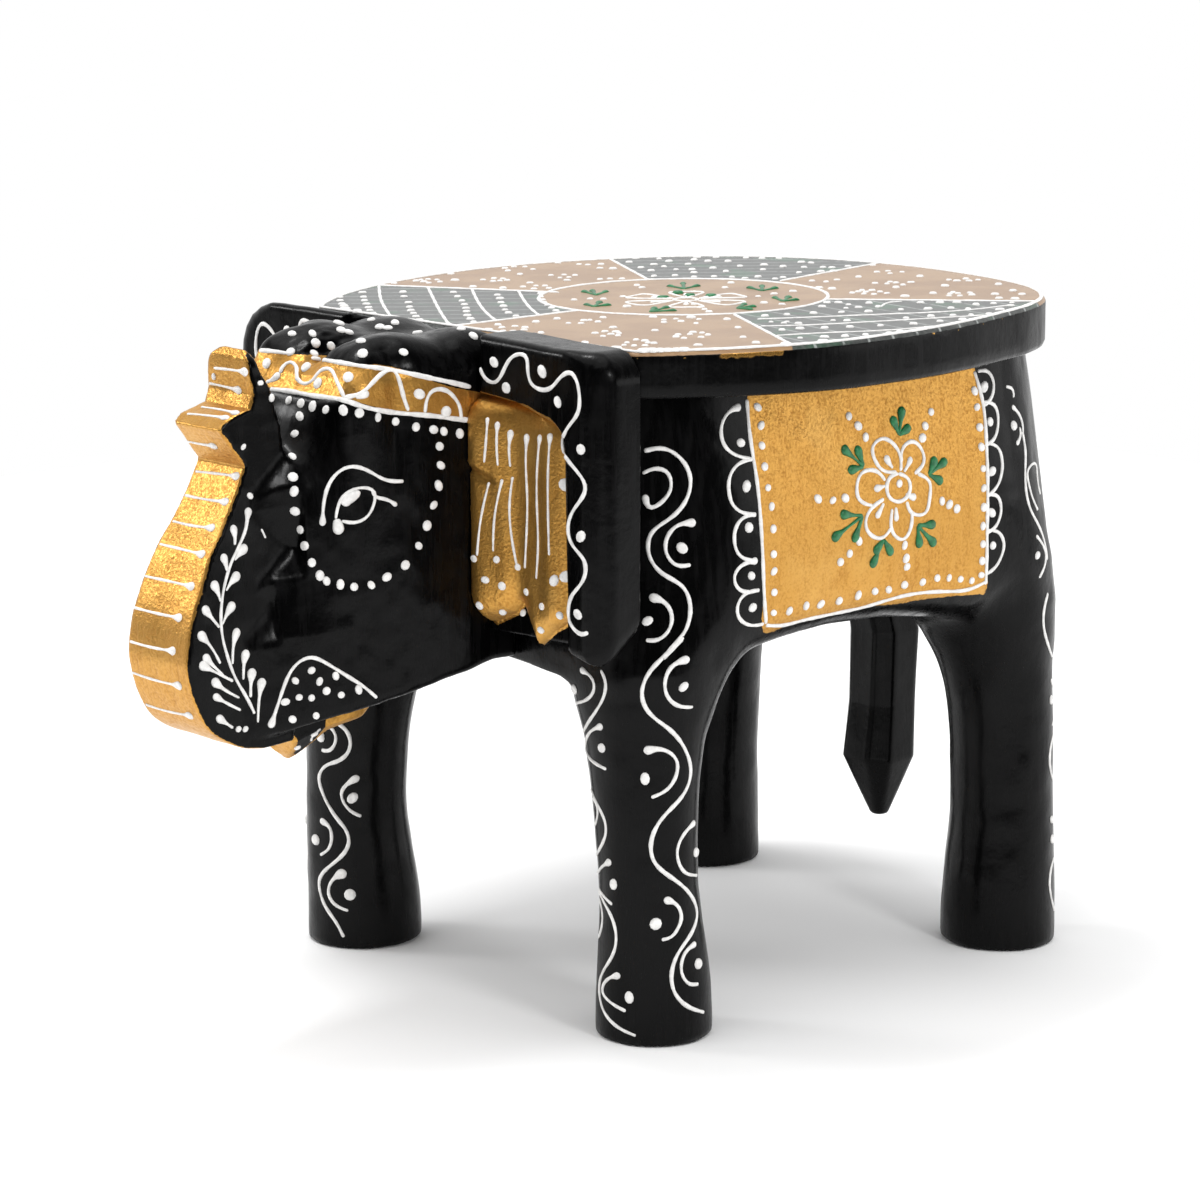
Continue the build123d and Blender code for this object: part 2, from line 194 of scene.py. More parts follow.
def sculpt(field, low, high, cell, block=4, margin=1.5, stretch=1.15):
    # skins a field with quads and draws their corners onto it; a coarse pass finds the cells near the skin,
    # and margin and stretch make room there for fields that aren't true distances
    count = [int(math.ceil((high[k] - low[k] + 3 * cell) / cell / block)) * block for k in range(3)]
    axes = [low[k] - cell + cell * np.arange(count[k]) for k in range(3)]
    middles = [a[::block] + cell * (block - 1) / 2 for a in axes]
    coarse = field(np.stack(np.meshgrid(*middles, indexing="ij"), -1).reshape(-1, 3))
    value = coarse.reshape([len(m) for m in middles])
    for k in range(3):
        value = np.repeat(value, block, axis=k)
    near = np.argwhere(np.abs(value) < cell * block * stretch + margin)
    value[tuple(near.T)] = field(near * cell + [a[0] for a in axes])
    inside = value < 0
    n = np.array(inside.shape) - 1
    part = [inside[a:a + n[0], b:b + n[1], c:c + n[2]] for a, b, c in cubeCorners]
    mixed = np.argwhere(np.any(part, axis=0) & ~np.all(part, axis=0))
    total, hits = np.zeros((len(mixed), 3)), np.zeros(len(mixed))
    for a in cubeCorners:
        for b in cubeCorners:
            if sum(b) - sum(a) == 1 and all(x <= y for x, y in zip(a, b)):
                valueA = value[tuple((mixed + a).T)]
                valueB = value[tuple((mixed + b).T)]
                hit = (valueA < 0) != (valueB < 0)
                t = np.where(hit, valueA / np.where(hit, valueA - valueB, 1), 0)[:, None]
                total += np.where(hit[:, None], a + t * (np.array(b) - a), 0)
                hits += hit
    points = (mixed + total / hits[:, None]) * cell + [a[0] for a in axes]
    number = np.full(n, -1)
    number[tuple(mixed.T)] = np.arange(len(mixed))
    quads = []
    for k in range(3):
        m, o = (k + 1) % 3, (k + 2) % 3
        first = np.take(inside, range(n[k]), axis=k)
        second = np.take(inside, range(1, n[k] + 1), axis=k)
        spots = np.argwhere(first != second)
        spots = spots[(spots[:, m] > 0) & (spots[:, o] > 0) & (spots[:, m] < n[m]) & (spots[:, o] < n[o])]
        em, eo = np.eye(3, dtype=int)[m], np.eye(3, dtype=int)[o]
        ring = [number[tuple((spots - s).T)] for s in (em + eo, eo, 0 * em, em)]
        quad = np.stack(ring, 1)
        flip = ~first[tuple(spots.T)]
        quad[flip] = quad[flip][:, ::-1]
        quads.append(quad)
    return settle(field, points, cell), np.concatenate(quads)


def unit(v):
    return v / np.maximum(np.linalg.norm(v, axis=-1, keepdims=True), 1e-9)


def newPiece(name, points, faces, finish, field=None, gilt=None, caps=()):
    # one piece that rides on the stool; caps are faces that hide inside a joint
    data = bpy.data.meshes.new(name)
    points = np.asarray(points) * 1.0
    points[:, 2] = np.maximum(points[:, 2], 0)
    every = [list(map(int, f)) for f in faces] + [list(map(int, f)) for f in caps]
    data.from_pydata(toFrame(points).tolist(), [], every)
    if data.validate():
        print("mended mesh of", name)
    data.update()
    data.shade_smooth()
    if field is not None:
        normals = unit(gradient(field, points))
        corners = np.empty(len(data.loops), int)
        data.loops.foreach_get("vertex_index", corners)
        split = normals[corners]
        for face in list(data.polygons)[len(faces):]:
            split[face.loop_start:face.loop_start + face.loop_total] = face.normal
        data.normals_split_custom_set(split.tolist())
    if gilt is not None:
        data.attributes.new("gilt", "FLOAT", "POINT").data.foreach_set("value", np.asarray(gilt, np.float32))
    data.materials.append(finish)
    piece = bpy.data.objects.new(name, data)
    bpy.context.scene.collection.objects.link(piece)
    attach(piece, "root")
    return piece


def slicePlane(points, faces, where, facing):
    # adds a row of points along a plane, so that pieces can part there
    mesh = bmesh.new()
    corners = [mesh.verts.new(p) for p in points]
    for face in faces:
        mesh.faces.new([corners[i] for i in face])
    parts = list(mesh.verts) + list(mesh.edges) + list(mesh.faces)
    bmesh.ops.bisect_plane(mesh, geom=parts, plane_co=where, plane_no=facing, dist=1e-4)
    mesh.verts.index_update()
    newPoints = np.array([v.co for v in mesh.verts])
    newFaces = [[v.index for v in f.verts] for f in mesh.faces]
    mesh.free()
    return newPoints, newFaces


def takePart(points, faces, keep):
    # the kept faces as a piece of their own, closed where it was cut
    faces = [f for f, k in zip(faces, keep) if k]
    used = np.unique(np.concatenate(faces))
    number = np.full(len(points), -1)
    number[used] = np.arange(len(used))
    faces = [[int(number[i]) for i in f] for f in faces]
    edges = {}
    for f in faces:
        for a, b in zip(f, f[1:] + f[:1]):
            if (b, a) in edges:
                del edges[(b, a)]
            else:
                edges[(a, b)] = True
    after = {b: a for a, b in edges}
    loops = []
    while after:
        start, ahead = after.popitem()
        loop = [start]
        while ahead != start and ahead in after:
            loop.append(ahead)
            ahead = after.pop(ahead)
        loops.append(loop)
    points = points[used]
    caps = []
    for loop in loops:
        points = np.concatenate([points, points[loop].mean(0)[None]])
        middle = len(points) - 1
        caps += [[a, b, middle] for a, b in zip(loop, loop[1:] + loop[:1])]
    return points, faces, caps


# shaders: a wire is a socket that can stand in sums, and a finish holds the nodes of one material

class Wire:
    def __init__(self, owner, socket):
        self.owner = owner
        self.socket = socket

    def math(self, operation, *others, swap=False):
        values = [self, *others]
        if swap:
            values.reverse()
        return self.owner.add("ShaderNodeMath", dict(operation=operation), dict(enumerate(values)))

    def __add__(self, other):
        return self.math("ADD", other)

    def __radd__(self, other):
        return self.math("ADD", other)

    def __sub__(self, other):
        return self.math("SUBTRACT", other)

    def __rsub__(self, other):
        return self.math("SUBTRACT", other, swap=True)

    def __mul__(self, other):
        return self.math("MULTIPLY", other)

    def __rmul__(self, other):
        return self.math("MULTIPLY", other)

    def step(self, low, high):
        # 0 below low, 1 above high, soft between
        settings = dict(interpolation_type="SMOOTHSTEP")
        return self.owner.add("ShaderNodeMapRange", settings, {0: self, 1: low, 2: high, 3: 0.0, 4: 1.0})


class Nodes:
    def __init__(self, tree):
        self.tree = tree

    def plug(self, socket, value):
        if isinstance(value, Wire):
            self.tree.links.new(value.socket, socket)
        elif isinstance(value, tuple) and len(value) == 3 and socket.type == "RGBA":
            socket.default_value = (*value, 1.0)
        else:
            socket.default_value = value

    def add(self, kind, settings=None, sockets=None, out=0):
        node = self.tree.nodes.new(kind)
        for key, value in (settings or {}).items():
            setattr(node, key, value)
        for key, value in (sockets or {}).items():
            self.plug(node.inputs[key], value)
        return Wire(self, node.outputs[out])

    def blend(self, share, under, over):
        return self.add("ShaderNodeMix", dict(data_type="RGBA"), {0: share, 6: under, 7: over}, out=2)

    def blendNormal(self, share, under, over):
        return self.add("ShaderNodeMix", dict(data_type="VECTOR"), {0: share, 4: under, 5: over}, out=1)

    def axes(self, vector):
        split = self.add("ShaderNodeSeparateXYZ", None, {0: vector})
        return [Wire(self, socket) for socket in split.socket.node.outputs]


class Finish(Nodes):
    def __init__(self, name, **sockets):
        self.material = bpy.data.materials.new(name)
        self.material.use_nodes = True
        super().__init__(self.material.node_tree)
        self.shader = self.tree.nodes["Principled BSDF"]
        self.place = self.add("ShaderNodeTexCoord", out="Object")
        for socket, value in sockets.items():
            self.paint(socket, value)

    def paint(self, socket, value):
        self.plug(self.shader.inputs[socket], value)

    def noise(self, size, detail=2.0, stretch=None, rough=0.5):
        # size in millimetres
        place = self.place
        if stretch:
            place = self.add("ShaderNodeVectorMath", dict(operation="MULTIPLY"), {0: place, 1: stretch})
        return self.add("ShaderNodeTexNoise", None,
                        {"Vector": place, "Scale": 1 / (size * mm), "Detail": detail, "Roughness": rough})

    def bump(self, height, depth, under=None):
        # depth in millimetres
        sockets = {"Height": height, "Distance": depth * mm, "Strength": 1.0}
        if under is not None:
            sockets["Normal"] = under
        return self.add("ShaderNodeBump", None, sockets)


lacquerLook = dict(
    colour=(0.0006, 0.0006, 0.0007), dusty=(0.0024, 0.0023, 0.0025), cloud=19.0, dust=(0.44, 0.68),
    shine=0.25, dull=0.4, specular=0.1, coat=0.06, coatShine=0.14,
    peel=1.1, peelDepth=0.035, strokes=2.2, strokeDepth=0.05, ripple=7.0, rippleDepth=0.25,
)
goldLook = dict(
    # deep is a painted shade for the gold's creases, pale a painted sheen
    colour=(0.6, 0.318, 0.073), deep=(0.43, 0.197, 0.036), pale=(0.8, 0.5, 0.16), metallic=0.9,
    shine=0.3, dull=0.16, pit=0.45, pitDull=0.05, cloud=24.0,
    grain=0.8, grainDepth=0.15, crease=2.6, creaseDepth=0.16,
)
giltEdge = dict(size=2.4, ragged=0.9, soft=0.08)        # where gold paint ends on lacquer
lacquerSockets = {"Specular IOR Level": lacquerLook["specular"], "Coat Roughness": lacquerLook["coatShine"]}


def lacquerParts(look):
    # colour, roughness and normal of brushed black lacquer
    s = lacquerLook
    strokes = look.noise(s["strokes"], 3.0, (1.0, 1.0, 0.12), 0.6)
    cloud = look.noise(s["cloud"], 3.0)
    peel = look.noise(s["peel"], 1.0)
    ripple = look.noise(s["ripple"], 2.0)
    dust = (strokes * 0.6 + cloud * 0.4).step(*s["dust"])
    colour = look.blend(dust, s["colour"], s["dusty"])
    roughness = dust * (s["dull"] - s["shine"]) + s["shine"]
    normal = look.bump(ripple, s["rippleDepth"])
    normal = look.bump(strokes, s["strokeDepth"], normal)
    normal = look.bump(peel, s["peelDepth"], normal)
    return colour, roughness, normal


def goldParts(look):
    # colour, roughness and normal of grainy gold paint; the colour holds a painted shade in the low parts of
    # the grain and creases, and a painted sheen in pale random patches
    s = goldLook
    grain = look.noise(s["grain"], 2.0, None, 0.6)
    crease = look.noise(s["crease"], 2.0, (1.0, 1.0, 0.35))
    cloud = look.noise(s["cloud"], 3.0)
    pit = look.noise(s["pit"], 1.0)
    # painted shade: the deep colour goes where the grain and crease bumps sink
    shade = (grain * 0.55 + crease * 0.35 + cloud * 0.1).step(0.22, 0.58)
    colour = look.blend(shade, s["deep"], s["colour"])
    # painted sheen: pale, yellower patches at random, like lit gold
    colour = look.blend(cloud.step(0.5, 0.75) * 0.25, colour, s["pale"])
    roughness = s["shine"] + s["dull"] * (1 - grain.step(0.35, 0.65)) + s["pitDull"] * pit
    normal = look.bump(crease, s["creaseDepth"])
    normal = look.bump(grain, s["grainDepth"], normal)
    return colour, roughness, normal


def giltFinish(name):
    # black lacquer with gold where the gilt value is above zero
    s = giltEdge
    look = Finish(name, **lacquerSockets)
    black, blackRough, blackNormal = lacquerParts(look)
    gold, goldRough, goldNormal = goldParts(look)
    gilt = look.add("ShaderNodeAttribute", dict(attribute_name="gilt"), out="Fac")
    ragged = look.noise(s["size"], 4.0, None, 0.65)
    mask = (gilt + (ragged - 0.5) * s["ragged"]).step(-s["soft"], s["soft"])
    look.paint("Base Color", look.blend(mask, black, gold))
    look.paint("Roughness", mask * (goldRough - blackRough) + blackRough)
    look.paint("Metallic", mask * goldLook["metallic"])
    look.paint("Coat Weight", (1 - mask) * lacquerLook["coat"])
    look.paint("Normal", look.blendNormal(mask, blackNormal, goldNormal))
    return look.material


def lacquerFinish(name):
    look = Finish(name, **lacquerSockets, **{"Coat Weight": lacquerLook["coat"]})
    colour, roughness, normal = lacquerParts(look)
    look.paint("Base Color", colour)
    look.paint("Roughness", roughness)
    look.paint("Normal", normal)
    return look.material


coneLook = dict(cloud=1.6, cloudDepth=0.08, shade=(0.35, 0.68), fine=0.5, dull=0.2)


def paintFinish(name, colour, deep, shine):
    # thick paint squeezed from a cone, mottled with a deeper shade
    s = coneLook
    look = Finish(name)
    cloud = look.noise(s["cloud"], 2.0)
    fine = look.noise(s["fine"], 1.0)
    look.paint("Base Color", look.blend(cloud.step(*s["shade"]), deep, colour))
    look.paint("Roughness", fine * s["dull"] + shine)
    look.paint("Normal", look.bump(cloud, s["cloudDepth"]))
    return look.material


whiteLook = dict(colour=(0.84, 0.83, 0.81), deep=(0.70, 0.69, 0.675), shine=0.3)
greenLook = dict(colour=(0.016, 0.19, 0.065), deep=(0.008, 0.12, 0.04), shine=0.28)
giltLacquer = giltFinish("giltLacquer")
blackLacquer = lacquerFinish("blackLacquer")
whitePaint = paintFinish("whitePaint", **whiteLook)
greenPaint = paintFinish("greenPaint", **greenLook)
print("finishes made")

# body and legs, carved as one and then cut apart where the legs begin

bodyShape = dict(
    # outline of the barrel at heights above the floor
    sideZ=(92, 103, 124, 173.5), half=(75, 77.5, 79.2, 73.2), rear=(84.5, 86.5, 89.5, 87.3),
    frontZ=(100, 124, 173.5), front=(-85.5, -90, -92), corner=(21, 40, 43), bottom=98.5, top=173.5,
    # belly: a shallow arch, lower and sharper at the chest
    archRise=5.0, archHalf=47.0, archY=-7.0, underRoll=15.0, rollY=(-85, -60),
    chest=-85.0, chestDrop=2.6, dropX=(12, 48), dropY=(-62, -82), chestRoll=3.5, chestEdge=1.5,
    legBlend=9.0, chestBlend=4.0, blendY=(-70, -82),
    grain=0.32, grainSize=(13, 13, 38), fineGrain=0.12, fineSize=5.5,
    crease=0.28, creaseMiddle=(-28, 160), creaseReach=(24, 20), creaseSize=(9, 18, 2.6), creaseOut=60,
    cell=1.5, parting=100.0, legIn=31.0, legAlong=38.0, goldOut=62,
)
legShape = dict(
    heights=(0, 7, 45, 79, 100, 118),
    front=dict(radius=(15.5, 15.5, 13.4, 15.8, 20.4, 15.0), out=(61.5, 61.5, 61.5, 58.6, 55.0, 50.0),
               reach=(67.5, 67.5, 70.1, 68.6, 64.0, 58.0)),
    rear=dict(radius=(16.4, 16.4, 14.8, 16.1, 20.4, 14.0), out=(61.5, 61.5, 60.8, 58.5, 55.0, 50.0),
              reach=(67.5, 67.5, 69.0, 68.4, 64.0, 58.0)),
    stouter=0.8, footRound=1.6, above=120.0,
)


def legField(p, end):
    s = legShape
    leg = s["front"] if end < 0 else s["rear"]
    z = p[:, 2]
    more = s["stouter"] * (p[:, 0] < 0) * (end < 0)        # the front right leg is stouter than the left
    radius = flow(z, s["heights"], leg["radius"]) + more
    x = np.abs(p[:, 0]) - flow(z, s["heights"], leg["out"]) - more
    y = p[:, 1] - end * flow(z, s["heights"], leg["reach"])
    d = (np.hypot(x, y) - radius) * 0.985        # nearer the true distance, as the sides slant
    d = softMax(d, -z, s["footRound"])
    return np.maximum(d, z - s["above"])


def bodyField(p):
    s = bodyShape
    x, y, z = p.T
    half = flow(z, s["sideZ"], s["half"])
    front = flow(z, s["frontZ"], s["front"])
    rear = flow(z, s["sideZ"], s["rear"])
    corner = flow(z, s["frontZ"], s["corner"])
    shell = roundBox(x, y - (front + rear) / 2, half, (rear - front) / 2, corner)
    arch = s["bottom"] + s["archRise"] * np.clip(1 - ((y - s["archY"]) / s["archHalf"]) ** 2, 0, 1)
    arch = arch - s["chestDrop"] * ramp(np.abs(x), *s["dropX"]) * ramp(y, *s["dropY"])
    roll = s["chestRoll"] + (s["underRoll"] - s["chestRoll"]) * ramp(y, *s["rollY"])
    d = softMax(shell, arch - z, roll)
    blend = s["legBlend"] + (s["chestBlend"] - s["legBlend"]) * ramp(y, *s["blendY"])
    for end in (-1, 1):
        d = softMin(d, legField(p, end), blend)
    d = softMax(d, s["chest"] - y, s["chestEdge"])
    d = d + s["grain"] * wobble(p, s["grainSize"]) + s["fineGrain"] * wobble(p, s["fineSize"], 3.3)
    # slanting creases in the cloth on both flanks
    (creaseY, creaseZ), (reachY, reachZ) = s["creaseMiddle"], s["creaseReach"]
    creased = np.exp(-((y - creaseY) / reachY) ** 2 - ((z - creaseZ) / reachZ) ** 2)
    creased = creased * (np.abs(x) > s["creaseOut"])
    slanted = np.stack([x, y * 0.75 - z * 0.66, y * 0.66 + z * 0.75], 1)
    d = d + s["crease"] * creased * wobble(slanted, s["creaseSize"], 1.3)
    return np.maximum(np.maximum(d, z - s["top"]), -z)


# outline of the gold cloth on the flank, as spots of the 1200 frame
saddleSpots = [
    (745.7, 372), (749.6, 433), (753.3, 458.2), (757.5, 486.3), (760.3, 517.1), (762.6, 556.4),
    (764, 592.9), (761.7, 623.8), (763.7, 633.6), (772.9, 632.2), (788.4, 623.8), (836.1, 614),
    (867, 607), (895, 604.1), (928.7, 598.5), (956.7, 595.7), (984.8, 594.3), (988.2, 584.5),
    (986.5, 562), (987, 528.4), (987.6, 486.3), (986.2, 441.4), (982, 399.3), (974.1, 366.2),
    (972, 340), (740, 340),
]


def saddleGilt(points):
    # how far inside the cloth a point lies; both flanks take the left one's outline
    near = points.copy()
    near[:, 0] = np.abs(near[:, 0])
    u, v = spotsOf(near).T
    reach = np.linalg.norm(near - eye, axis=1)
    inside = -outline(u, v, saddleSpots) * reach / focal
    return np.where(near[:, 0] > bodyShape["goldOut"], inside, -9)


bodyPoints, bodyFaces = sculpt(bodyField, (-82, -90, 0), (82, 94, 173.5), bodyShape["cell"])
bodyTree = BVHTree.FromPolygons(bodyPoints.tolist(), bodyFaces.tolist())
parting = bodyShape["parting"]
partPoints, partFaces = slicePlane(bodyPoints, bodyFaces, (0, 0, parting), (0, 0, 1))
middles = np.array([partPoints[f].mean(0) for f in partFaces])
inLegs = (middles[:, 2] < parting) & (np.abs(middles[:, 0]) > bodyShape["legIn"])
inLegs &= np.abs(middles[:, 1]) > bodyShape["legAlong"]

points, faces, caps = takePart(partPoints, partFaces, ~inLegs)
gilt = saddleGilt(points)
piece = newPiece("bodyCarving", points, faces, giltLacquer, bodyField, gilt, caps)
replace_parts(piece, "body_block")
legNodes = dict(
    legFrontLeft=(1, -1, "leg_front_left"), legFrontRight=(-1, -1, "leg_front_right"),
    legRearLeft=(1, 1, "leg_rear_left"), legRearRight=(-1, 1, "leg_rear_right"),
)
for name, (side, end, node) in legNodes.items():
    keep = inLegs & (middles[:, 0] * side > 0) & (middles[:, 1] * end > 0)
    points, faces, caps = takePart(partPoints, partFaces, keep)
    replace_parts(newPiece(name, points, faces, blackLacquer, bodyField, None, caps), node)
print("body and legs carved:", len(bodyFaces), "quads")

# head and trunk, carved as one and then cut apart at the face

headShape = dict(
    jaw=((-85, 99.6), (-92.7, 99.4), (-113.4, 95.4), (-128.7, 92.3), (-143.6, 89.6), (-156, 87.5),
         (-166, 86.5)),
    brow=((-166, 160), (-156, 168), (-139.5, 173.4), (-136.5, 178), (-130, 182.4), (-108, 184.6),
          (-85, 184.9)),
    plan=((27, -84), (27, -102), (24.6, -121), (21.2, -137), (16.5, -147), (12.6, -153), (9.5, -156)),
    browPlan=((27, -84), (27, -102), (24.6, -121), (21.2, -137), (19, -138.6), (9, -139.5)),
    browFrom=146, browTo=173,
    leanZ=(113, 125, 138, 148, 158, 168), lean=(13.0, 7.8, 5.2, 2.8, 0.7, -2.0),
    # middle and radii of the two front domes, of the rear ones on both sides, and of the hollow between them
    domes=(((12.2, -118.0, 174.1), (16, 19, 13.6)), ((-16.0, -119.0, 174.9), (14.5, 19.5, 13.6))),
    rearDome=((15, -95, 175.2), (17, 16, 12.4)), hollow=((0, -127, 190.5), (7.0, 14, 12)),
    # chisel cuts beside the trunk: a point of each, its direction, its height and slope below and above,
    # and where it ends behind
    cuts=(
        dict(at=(15.7, -150.2, 138), out=(0.872, -0.47, 0.14), low=(127, 1.9), high=(152, 4.0), rear=-148),
        dict(at=(14.2, -156.6, 119), out=(0.93, -0.307, 0.2), low=(113.5, 3.9), high=(125, 1.15), rear=-156),
    ),
    domeBlend=4.0, rearBlend=3.0, hollowEdge=0.8, cutBottom=1.5, cutEdge=0.6,
    # how round the edges are, and how much rounder towards the top, left and right
    edge=3.0, topEdge=(7.0, 3.0), topEdgeZ=(172, 180), trunkBlend=1.6, topBlend=3.4, topBlendZ=(136, 146),
    # groove and ridge in each temple: how far in or out, their place and their reach
    groove=(1.0, -123, 3.6), ridge=(0.6, -133.5, 3.2), templeZ=(150, 164), templeX=(14, 18),
    grain=0.22, grainSize=(11, 14, 17), fineGrain=0.1, fineSize=4.2,
    rough=0.8, roughSize=(1.6, 3.2, 2.2), roughY=-124, roughReach=(9, 13), roughZ=(176, 180),
    face=-152.0, back=-85.0, cell=1.0,
    bandY=(-137, -123, -112, -102, -85), bandLow=(173.2, 168.8, 166.8, 165.2, 163.5),
    bandHigh=(182.2, 180.4, 175.8, 172.8, 170.5), bandFront=-148,
)
trunkShape = dict(
    front=((-160, 83.9), (-165.5, 84.8), (-171.5, 87.3), (-177, 91.2), (-181, 98), (-183.3, 106.5),
           (-183.2, 112), (-181.6, 119.5), (-178.6, 127), (-174.6, 135.5), (-170, 142.3), (-165.6, 150),
           (-162.2, 157.3)),
    tip=((-169.8, 167.4), (-167.5, 169.6), (-160, 171.9), (-158.8, 175.5), (-159.4, 181), (-159.4, 184.6),
         (-158, 186.8), (-156.8, 186), (-156.2, 182.5), (-155, 179.6), (-153.5, 176.9), (-152, 172.5),
         (-150.4, 167), (-149.6, 160), (-149.5, 150), (-150, 84.5)),
    thickZ=(84, 112, 127, 150, 168, 180, 184.5, 187.2),
    thick=(13.3, 13.3, 12.6, 10.6, 10.0, 9.4, 7.6, 3.5),
    edge=1.1, giltDepth=2.6, giltEdge=0.35,
)


def rounded(points, count=6):
    # a finer line through the same points
    p = np.asarray(points, float)
    t = np.arange(len(p))
    fine = np.linspace(0, len(p) - 1, (len(p) - 1) * count + 1)
    return np.stack([flow(fine, t, p[:, 0]), flow(fine, t, p[:, 1])], 1)


def bothSides(plan):
    return np.array(list(plan) + [(-x, y) for x, y in reversed(plan)], float)


trunkFront = rounded(trunkShape["front"], 4)
trunkOutline = np.concatenate([trunkFront, np.array(trunkShape["tip"], float)])
headSide = np.array(headShape["jaw"] + headShape["brow"], float)


def trunkField(p):
    s = trunkShape
    x, y, z = p.T
    side = outline(y, z, trunkOutline)
    half = flow(z, s["thickZ"], s["thick"])
    return softMax(side, np.abs(x) - half, s["edge"])


def headField(p):
    s = headShape
    x, y, z = p.T
    a = np.abs(x)
    q = np.stack([a, y, z], 1)
    side = outline(y, z, headSide)
    lean = flow(z, s["leanZ"], s["lean"]) * ramp(y, -138, -164)
    plan = outline(a, y + lean, bothSides(s["plan"]))
    brow = ease(ramp(z, s["browFrom"], s["browTo"]))
    plan = plan + (outline(a, y, bothSides(s["browPlan"])) - plan) * brow
    for centre, radii in s["domes"]:
        side = softMin(side, ball(p, centre, radii), s["domeBlend"])
    side = softMin(side, ball(q, *s["rearDome"]), s["rearBlend"])
    d = softMax(plan, side, s["edge"] + np.where(x > 0, *s["topEdge"]) * ramp(z, *s["topEdgeZ"]))
    d = softMax(d, -ball(q, *s["hollow"]), s["hollowEdge"])
    for cut in s["cuts"]:
        deep = (q - cut["at"]) @ np.array(cut["out"])
        (low, lowSlope), (high, highSlope) = cut["low"], cut["high"]
        under = (low - lowSlope * deep - z) / math.hypot(1, lowSlope)
        over = (z - high - highSlope * deep) / math.hypot(1, highSlope)
        hole = softMax(np.maximum(under, over), (y - cut["rear"]) * 0.8, s["cutBottom"])
        d = softMax(d, -hole, s["cutEdge"])
    # an upright groove in each temple, with a ridge before it
    (grooveDeep, grooveY, grooveReach), (ridgeHigh, ridgeY, ridgeReach) = s["groove"], s["ridge"]
    groove = np.exp(-((y - grooveY) / grooveReach) ** 2)
    groove = groove - ridgeHigh * np.exp(-((y - ridgeY) / ridgeReach) ** 2)
    d = d + grooveDeep * groove * ramp(z, *s["templeZ"]) * ramp(a, *s["templeX"])
    d = softMin(d, trunkField(p), s["trunkBlend"] + s["topBlend"] * ramp(z, *s["topBlendZ"]))
    d = d + s["grain"] * wobble(p, s["grainSize"], 7.7) + s["fineGrain"] * wobble(p, s["fineSize"], 1.9)
    # the hollow between the domes is left rough
    reachX, reachY = s["roughReach"]
    rough = np.exp(-((x / reachX) ** 2 + ((y - s["roughY"]) / reachY) ** 2)) * ramp(z, *s["roughZ"])
    d = d + rough * s["rough"] * wobble(p, s["roughSize"], 5.1)
    return np.maximum(d, y - s["back"])


def headGilt(points):
    # gold down the trunk's front and round the brow
    t, s = trunkShape, headShape
    x, y, z = points.T
    line = trunkOutline[:len(trunkFront) + 8]
    reach = np.full(len(points), 1e9)
    for a, b in zip(line, line[1:]):
        reach = np.minimum(reach, fromEdge(y, z, a, b))
    across = flow(z, t["thickZ"], t["thick"]) - t["giltEdge"] - np.abs(x)
    trunk = np.minimum(across, t["giltDepth"] - np.sqrt(reach))
    low = flow(y, s["bandY"], s["bandLow"])
    high = flow(y, s["bandY"], s["bandHigh"])
    band = np.minimum(np.minimum(z - low, high - z), y - s["bandFront"])
    return np.maximum(trunk, band)


headPoints, headFaces = sculpt(headField, (-29, -185, 82), (29, -85, 191), headShape["cell"])
headTree = BVHTree.FromPolygons(headPoints.tolist(), headFaces.tolist())
partPoints, partFaces = slicePlane(headPoints, headFaces, (0, headShape["face"], 0), (0, 1, 0))
inTrunk = np.array([partPoints[f][:, 1].mean() < headShape["face"] for f in partFaces])
headParts = (
    ("headCarving", ~inTrunk, "black_lacquer", "head_block"),
    ("trunkCarving", inTrunk, "gold_paint", "trunk"),
)
for name, keep, slot, node in headParts:
    points, faces, caps = takePart(partPoints, partFaces, keep)
    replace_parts(newPiece(name, points, faces, giltLacquer, headField, headGilt(points), caps), node)
print("head and trunk carved:", len(headFaces), "quads")

# lower lip, a gilded wedge under the jaw

lipShape = dict(
    side=((-118, 96), (-122, 90), (-127, 87.6), (-133, 86), (-137, 84.4), (-139.5, 80.6), (-141.2, 77),
          (-142.8, 76.1), (-144.4, 77.8), (-146.6, 82), (-148.6, 86), (-148, 96)),
    halfY=(-150, -146, -141, -132, -118), half=(6.0, 9.0, 12.0, 14.2, 9.5),
    halfZ=(75, 77, 80, 84, 88), taper=(0.8, 2.4, 6.2, 10.2, 14.5), round=1.4,
    grain=0.15, grainSize=3.5, cell=0.8, hollowFront=-139.5, rim=1.1,
)


def lipField(p):
    s = lipShape
    x, y, z = p.T
    side = outline(y, z, s["side"])
    half = np.minimum(flow(y, s["halfY"], s["half"]), flow(z, s["halfZ"], s["taper"]))
    return softMax(side, np.abs(x) - half, s["round"]) + s["grain"] * wobble(p, s["grainSize"], 2.2)


def lipGilt(points):
    # gold, but for the black hollow inside its point
    s = lipShape
    y, z = points.T[1:]
    return np.where(y < s["hollowFront"], s["rim"] + outline(y, z, s["side"]), 3.0)


points, faces = sculpt(lipField, (-15, -153, 75), (15, -117, 96), lipShape["cell"])
newPiece("lowerLip", points, faces, giltLacquer, lipField, lipGilt(points))
lipTree = BVHTree.FromPolygons(points.tolist(), faces.tolist())

# ears: a black border round a pleated gold pad

